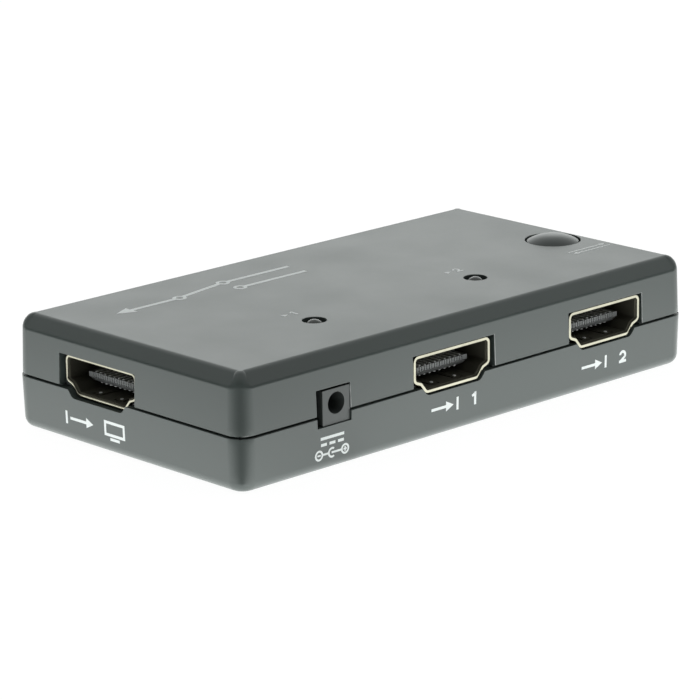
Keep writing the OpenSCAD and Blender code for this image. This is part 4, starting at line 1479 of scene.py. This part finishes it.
@dataclass
class Studio:
    """White floor that glows like a light table, pale surroundings and the camera."""

    lens: float = 180.0
    sensor: float = 36.0
    azimuth: float = -43.57
    elevation: float = 15.817
    roll: float = -0.844
    distance: float = 513.3
    shift_right: float = 1.4045
    shift_up: float = -6.287
    clip_start: float = 0.01
    floor_size: float = 8.0
    floor_drop: float = 0.02
    floor_seen: float = 0.96
    floor_glow: float = 2.07
    floor_paper: float = 0.12
    overhead: float = 0.615
    rising: Point = (20.0, 35.0)
    topping: Point = (45.0, 60.0)
    near_gain: float = 1.15
    far_gain: float = 0.67
    near_reach: float = 10.0
    far_reach: float = 60.0
    light_colour: Colour = (0.965, 1.0, 0.985)

    def build(self) -> None:
        """Builds the whole studio."""
        bpy.context.scene.view_settings.view_transform = "Standard"
        self.build_camera()
        self.build_floor()
        self.build_world()

    def build_camera(self) -> None:
        """Sets the camera at the photograph's viewing angle."""
        turn, rise, tilt = (math.radians(v) for v in (self.azimuth, self.elevation, self.roll))
        back = Vector((math.sin(turn) * math.cos(rise), -math.cos(turn) * math.cos(rise), math.sin(rise)))
        level = Vector((math.cos(turn), math.sin(turn), 0.0))
        upright = back.cross(level)
        right = level * math.cos(tilt) + upright * math.sin(tilt)
        up = upright * math.cos(tilt) - level * math.sin(tilt)
        place = (back * self.distance - right * self.shift_right - up * self.shift_up) * MM
        data = bpy.data.cameras.new("camera")
        data.lens = self.lens
        data.sensor_width = self.sensor
        data.clip_start = self.clip_start
        camera = bpy.data.objects.new("camera", data)
        camera.matrix_world = Matrix.Translation(place) @ Matrix((right, up, back)).transposed().to_4x4()
        bpy.context.scene.collection.objects.link(camera)
        bpy.context.scene.camera = camera

    @staticmethod
    def share(sheet: NodeSheet, x: NodeSocket, y: NodeSocket, way: Point) -> NodeSocket:
        """Gives how far a direction belongs to a quarter: 1 along its middle, 0 from a right angle on.

        Args:
            sheet: The sheet of the floor's or the world's nodes.
            x: The direction's part along X.
            y: The direction's part along Y.
            way: The quarter's middle direction.

        Returns:
            The socket with the share.
        """
        never_zero = 1e-9
        square = sheet.plus(sheet.times(x, x), sheet.times(y, y))
        ahead = sheet.most(sheet.plus(sheet.times(x, way[0]), sheet.times(y, way[1])), 0.0)
        return sheet.math("DIVIDE", sheet.times(ahead, ahead), sheet.plus(square, never_zero))

    def blend(
        self, sheet: NodeSheet, x: NodeSocket, y: NodeSocket, levels: Sequence[float]
    ) -> NodeSocket:
        """Blends the brightness of the four quarters.

        Args:
            sheet: The sheet of the floor's or the world's nodes.
            x: The direction's part along X.
            y: The direction's part along Y.
            levels: Brightness of each quarter.

        Returns:
            The socket with the blended brightness.
        """
        total: object = 0.0
        for quarter, level in zip(QUARTERS, levels):
            total = sheet.plus(sheet.times(self.share(sheet, x, y, quarter.toward), level), total)
        return total

    @staticmethod
    def climb(sheet: NodeSheet, height: NodeSocket, span: Point) -> NodeSocket:
        """Gives how far a direction has risen through a span of elevations, from 0 to 1."""
        low, high = (math.sin(math.radians(v)) for v in span)
        return sheet.remap(height, (low, high), UNIT)

    def build_floor(self) -> None:
        """Lays the floor: white to the eye, with the object's shadow, and a glow that lights the object."""
        build = bmesh.new()
        bmesh.ops.create_grid(build, x_segments=1, y_segments=1, size=self.floor_size / 2)
        floor = object_of("floor", build)
        floor.data.transform(Matrix.Translation((0.0, 0.0, cad_box[0].z - self.floor_drop * MM)))
        material, sheet = new_material("white_floor")
        spot = sheet.add("ShaderNodeSeparateXYZ", {0: sheet.place()}).outputs
        low, high = cad_box
        mirrored = self.blend(
            sheet,
            sheet.minus(spot["X"], low.x),
            sheet.minus(spot["Y"], low.y),
            [quarter.floor for quarter in QUARTERS],
        )
        beside = sheet.minus(sheet.math("ABSOLUTE", spot["X"]), high.x)
        before = sheet.minus(sheet.math("ABSOLUTE", spot["Y"]), high.y)
        gain = sheet.remap(
            sheet.most(beside, before),
            (self.near_reach * MM, self.far_reach * MM),
            (self.near_gain, self.far_gain),
        )
        mirrored = sheet.times(mirrored, gain)
        path = sheet.add("ShaderNodeLightPath").outputs
        eye = sheet.most(path["Is Camera Ray"], path["Is Transmission Ray"])
        level = sheet.times(eye, self.floor_seen)
        level = sheet.plus(level, sheet.times(path["Is Glossy Ray"], mirrored))
        level = sheet.plus(level, sheet.times(path["Is Diffuse Ray"], self.floor_glow))
        tint = sheet.mix(eye, rgba(self.light_colour), rgba(WHITE))
        paper = sheet.add("ShaderNodeBsdfDiffuse", {"Color": rgba((self.floor_paper,) * 3)})
        glow = sheet.add("ShaderNodeEmission", {"Color": tint, "Strength": level})
        both = sheet.add("ShaderNodeAddShader", {0: paper.outputs[0], 1: glow.outputs[0]})
        close_material(sheet, both.outputs[0])
        dress(floor, material)

    def build_world(self) -> None:
        """Builds the surroundings: white to the eye, and for the light four quarters under a soft top."""
        world = bpy.data.worlds.new("studio")
        world.use_nodes = True
        world.node_tree.nodes.clear()
        sheet = NodeSheet(world.node_tree)
        toward = sheet.add("ShaderNodeTexCoord").outputs["Generated"]
        way = sheet.add("ShaderNodeSeparateXYZ", {0: toward}).outputs
        rising = self.climb(sheet, way["Z"], self.rising)
        topping = self.climb(sheet, way["Z"], self.topping)
        low = self.blend(sheet, way["X"], way["Y"], [quarter.low for quarter in QUARTERS])
        half_way = self.blend(sheet, way["X"], way["Y"], [quarter.half_way for quarter in QUARTERS])
        level = sheet.times(low, sheet.minus(1.0, rising))
        level = sheet.plus(level, sheet.times(half_way, sheet.minus(rising, topping)))
        level = sheet.plus(level, sheet.times(topping, self.overhead))
        light = sheet.add("ShaderNodeBackground", {"Color": rgba(self.light_colour), "Strength": level})
        white = sheet.add("ShaderNodeBackground", {"Color": rgba(WHITE), "Strength": 1.0})
        path = sheet.add("ShaderNodeLightPath").outputs
        eye = sheet.most(path["Is Camera Ray"], path["Is Transmission Ray"])
        seen = sheet.add("ShaderNodeMixShader", {0: eye, 1: light.outputs[0], 2: white.outputs[0]})
        sheet.add("ShaderNodeOutputWorld", {"Surface": seen.outputs[0]})
        bpy.context.scene.world = world


class Printing:
    """The printed marks: plain arrows, numerals and signs for ports, lamps, jack and button."""

    STROKE = 0.42
    FINE = 0.3
    THIN = 0.24
    BROAD = 0.75

    def __init__(self, palette: Palette) -> None:
        """Keeps the ink."""
        self.ink = palette.ink

    def build(self) -> None:
        """Lays all marks on the two shells."""
        below = (
            ("input_1_sign", Side.FRONT, (-4.1, 4.2), self.input_sign(1)),
            ("input_2_sign", Side.FRONT, (26.9, 3.85), self.input_sign(2)),
            ("output_sign", Side.LEFT, (-6.0, 3.6), self.output_sign()),
            ("direct_current_sign", Side.FRONT, (-28.1, 4.4), self.direct_current_sign()),
            ("polarity_sign", Side.FRONT, (-28.15, 2.5), self.polarity_sign()),
        )
        above = (
            ("lamp_1_sign", Side.TOP, (-18.5, -5.5), self.lamp_sign(1)),
            ("lamp_2_sign", Side.TOP, (14.2, -5.4), self.lamp_sign(2)),
            ("select_sign", Side.TOP, (37.8, -10.8), self.select_sign()),
            ("switch_diagram", Side.TOP, (-17.5, 12.5), self.switch_diagram()),
        )
        for shell, marks in (("lower_case", below), ("upper_case", above)):
            for mark in marks:
                PrintedMark(*mark).build(bpy.data.objects[shell], self.ink)

    def input_sign(self, number: int) -> Stencil:
        """Draws an arrow into a bracket, and the input's numeral.

        Args:
            number: The input's number.

        Returns:
            The drawn stencil.
        """
        sign = Stencil()
        sign.arrow((-4.9, 0.0), (-0.5, 0.0), self.STROKE, 1.5)
        sign.bar((0.3, -0.95), (0.3, 0.95), self.STROKE)
        sign.digit(number, (3.25, -0.95), 1.9, self.STROKE)
        return sign

    def output_sign(self) -> Stencil:
        """Draws an arrow out of a bracket, and a screen on its foot.

        Returns:
            The drawn stencil.
        """
        sign = Stencil()
        sign.bar((-6.6, -0.95), (-6.6, 0.95), self.STROKE)
        sign.arrow((-5.8, 0.0), (-0.8, 0.0), self.STROKE, 1.5)
        for start, end in (((1.6, 1.1), (6.0, 1.1)), ((1.6, -0.7), (6.0, -0.7))):
            sign.bar(start, end, self.STROKE)
        for x in (1.81, 5.79):
            sign.bar((x, -0.49), (x, 0.89), self.STROKE)
        sign.bar((2.8, -1.3), (4.8, -1.3), self.STROKE)
        return sign

    def direct_current_sign(self) -> Stencil:
        """Draws a line over three dashes.

        Returns:
            The drawn stencil.
        """
        sign = Stencil()
        sign.bar((-2.2, 0.4), (2.2, 0.4), self.STROKE)
        for x in (-1.6, 0.0, 1.6):
            sign.bar((x - 0.55, -0.5), (x + 0.55, -0.5), self.STROKE)
        return sign

    def polarity_sign(self) -> Stencil:
        """Draws a ring with a minus, a cup round the centre contact, and a ring with a plus.

        Returns:
            The drawn stencil.
        """
        sign = Stencil()
        for x in (-2.45, 2.45):
            sign.ring((x, 0.0), 0.62, self.FINE)
            sign.bar((x - 0.3, 0.0), (x + 0.3, 0.0), self.THIN)
        sign.bar((2.45, 0.14), (2.45, 0.34), self.THIN)
        sign.bar((2.45, -0.34), (2.45, -0.14), self.THIN)
        sign.ring((0.0, 0.0), 0.62, self.FINE, 55, 305)
        sign.bar((-1.68, 0.0), (-0.77, 0.0), self.FINE)
        sign.bar((-0.1, 0.0), (1.68, 0.0), self.FINE)
        return sign

    def lamp_sign(self, number: int) -> Stencil:
        """Draws the numeral of a lamp beside a small wedge.

        Args:
            number: The lamp's number.

        Returns:
            The drawn stencil.
        """
        sign = Stencil()
        sign.polygon([(-1.5, -0.5), (-0.5, 0.0), (-1.5, 0.5)])
        sign.digit(number, (0.2, -0.8), 1.6, self.FINE)
        return sign

    def select_sign(self) -> Stencil:
        """Draws two arrows that change places.

        Returns:
            The drawn stencil.
        """
        sign = Stencil()
        sign.arrow((-4.0, 0.5), (4.0, 0.5), self.FINE, 1.0)
        sign.arrow((4.0, -0.6), (-4.0, -0.6), self.FINE, 1.0)
        return sign

    def switch_diagram(self) -> Stencil:
        """Draws the plan of the switch: two lines with round ends, an arm, and one line that leaves.

        Returns:
            The drawn stencil.
        """
        sign = Stencil()
        for y in (1.9, -1.9):
            sign.bar((5.0, y), (17.0, y), self.BROAD)
            sign.ring((4.0, y), 0.8, 0.5)
        sign.ring((-6.0, 0.0), 0.8, 0.5)
        sign.bar((-5.1, 0.25), (3.1, 1.75), self.BROAD)
        sign.bar((-15.0, 0.0), (-7.0, 0.0), self.BROAD)
        sign.polygon([(-15.0, -1.3), (-15.0, 1.3), (-17.8, 0.0)])
        return sign


def dress_inner_nodes(palette: Palette) -> None:
    """Gives every node that is still shown its own material, by the slot that the record names.

    Args:
        palette: The object's materials.
    """
    for part in frame["record"]["subparts"]:
        node = frame["nodes"][part["node"]]
        if not node.hide_render:
            dress(node, palette[Slot(part["material_slot"])])
            LOG.info("%s: dressed in %s", node.name, part["material_slot"])


def main() -> None:
    """Builds the object and its studio."""
    logging.basicConfig(level=logging.INFO, format="%(name)s: %(message)s")
    palette = Palette()
    rows = CopyRows()
    Studio().build()
    Housing(palette, rows).build()
    for name in ("input_1", "input_2"):
        VideoPort(name, 0.0, palette, rows).build()
    VideoPort("output", -math.pi / 2, palette, rows, rim_edge=OUTPUT_RIM).build()
    PowerJack(palette).build()
    SelectButton(palette).build()
    for node in ("lamp_1_lens", "lamp_2_lens"):
        IndicatorLamp(node, palette).build()
    Printing(palette).build()
    dress_inner_nodes(palette)


if __name__ == "__main__":
    main()
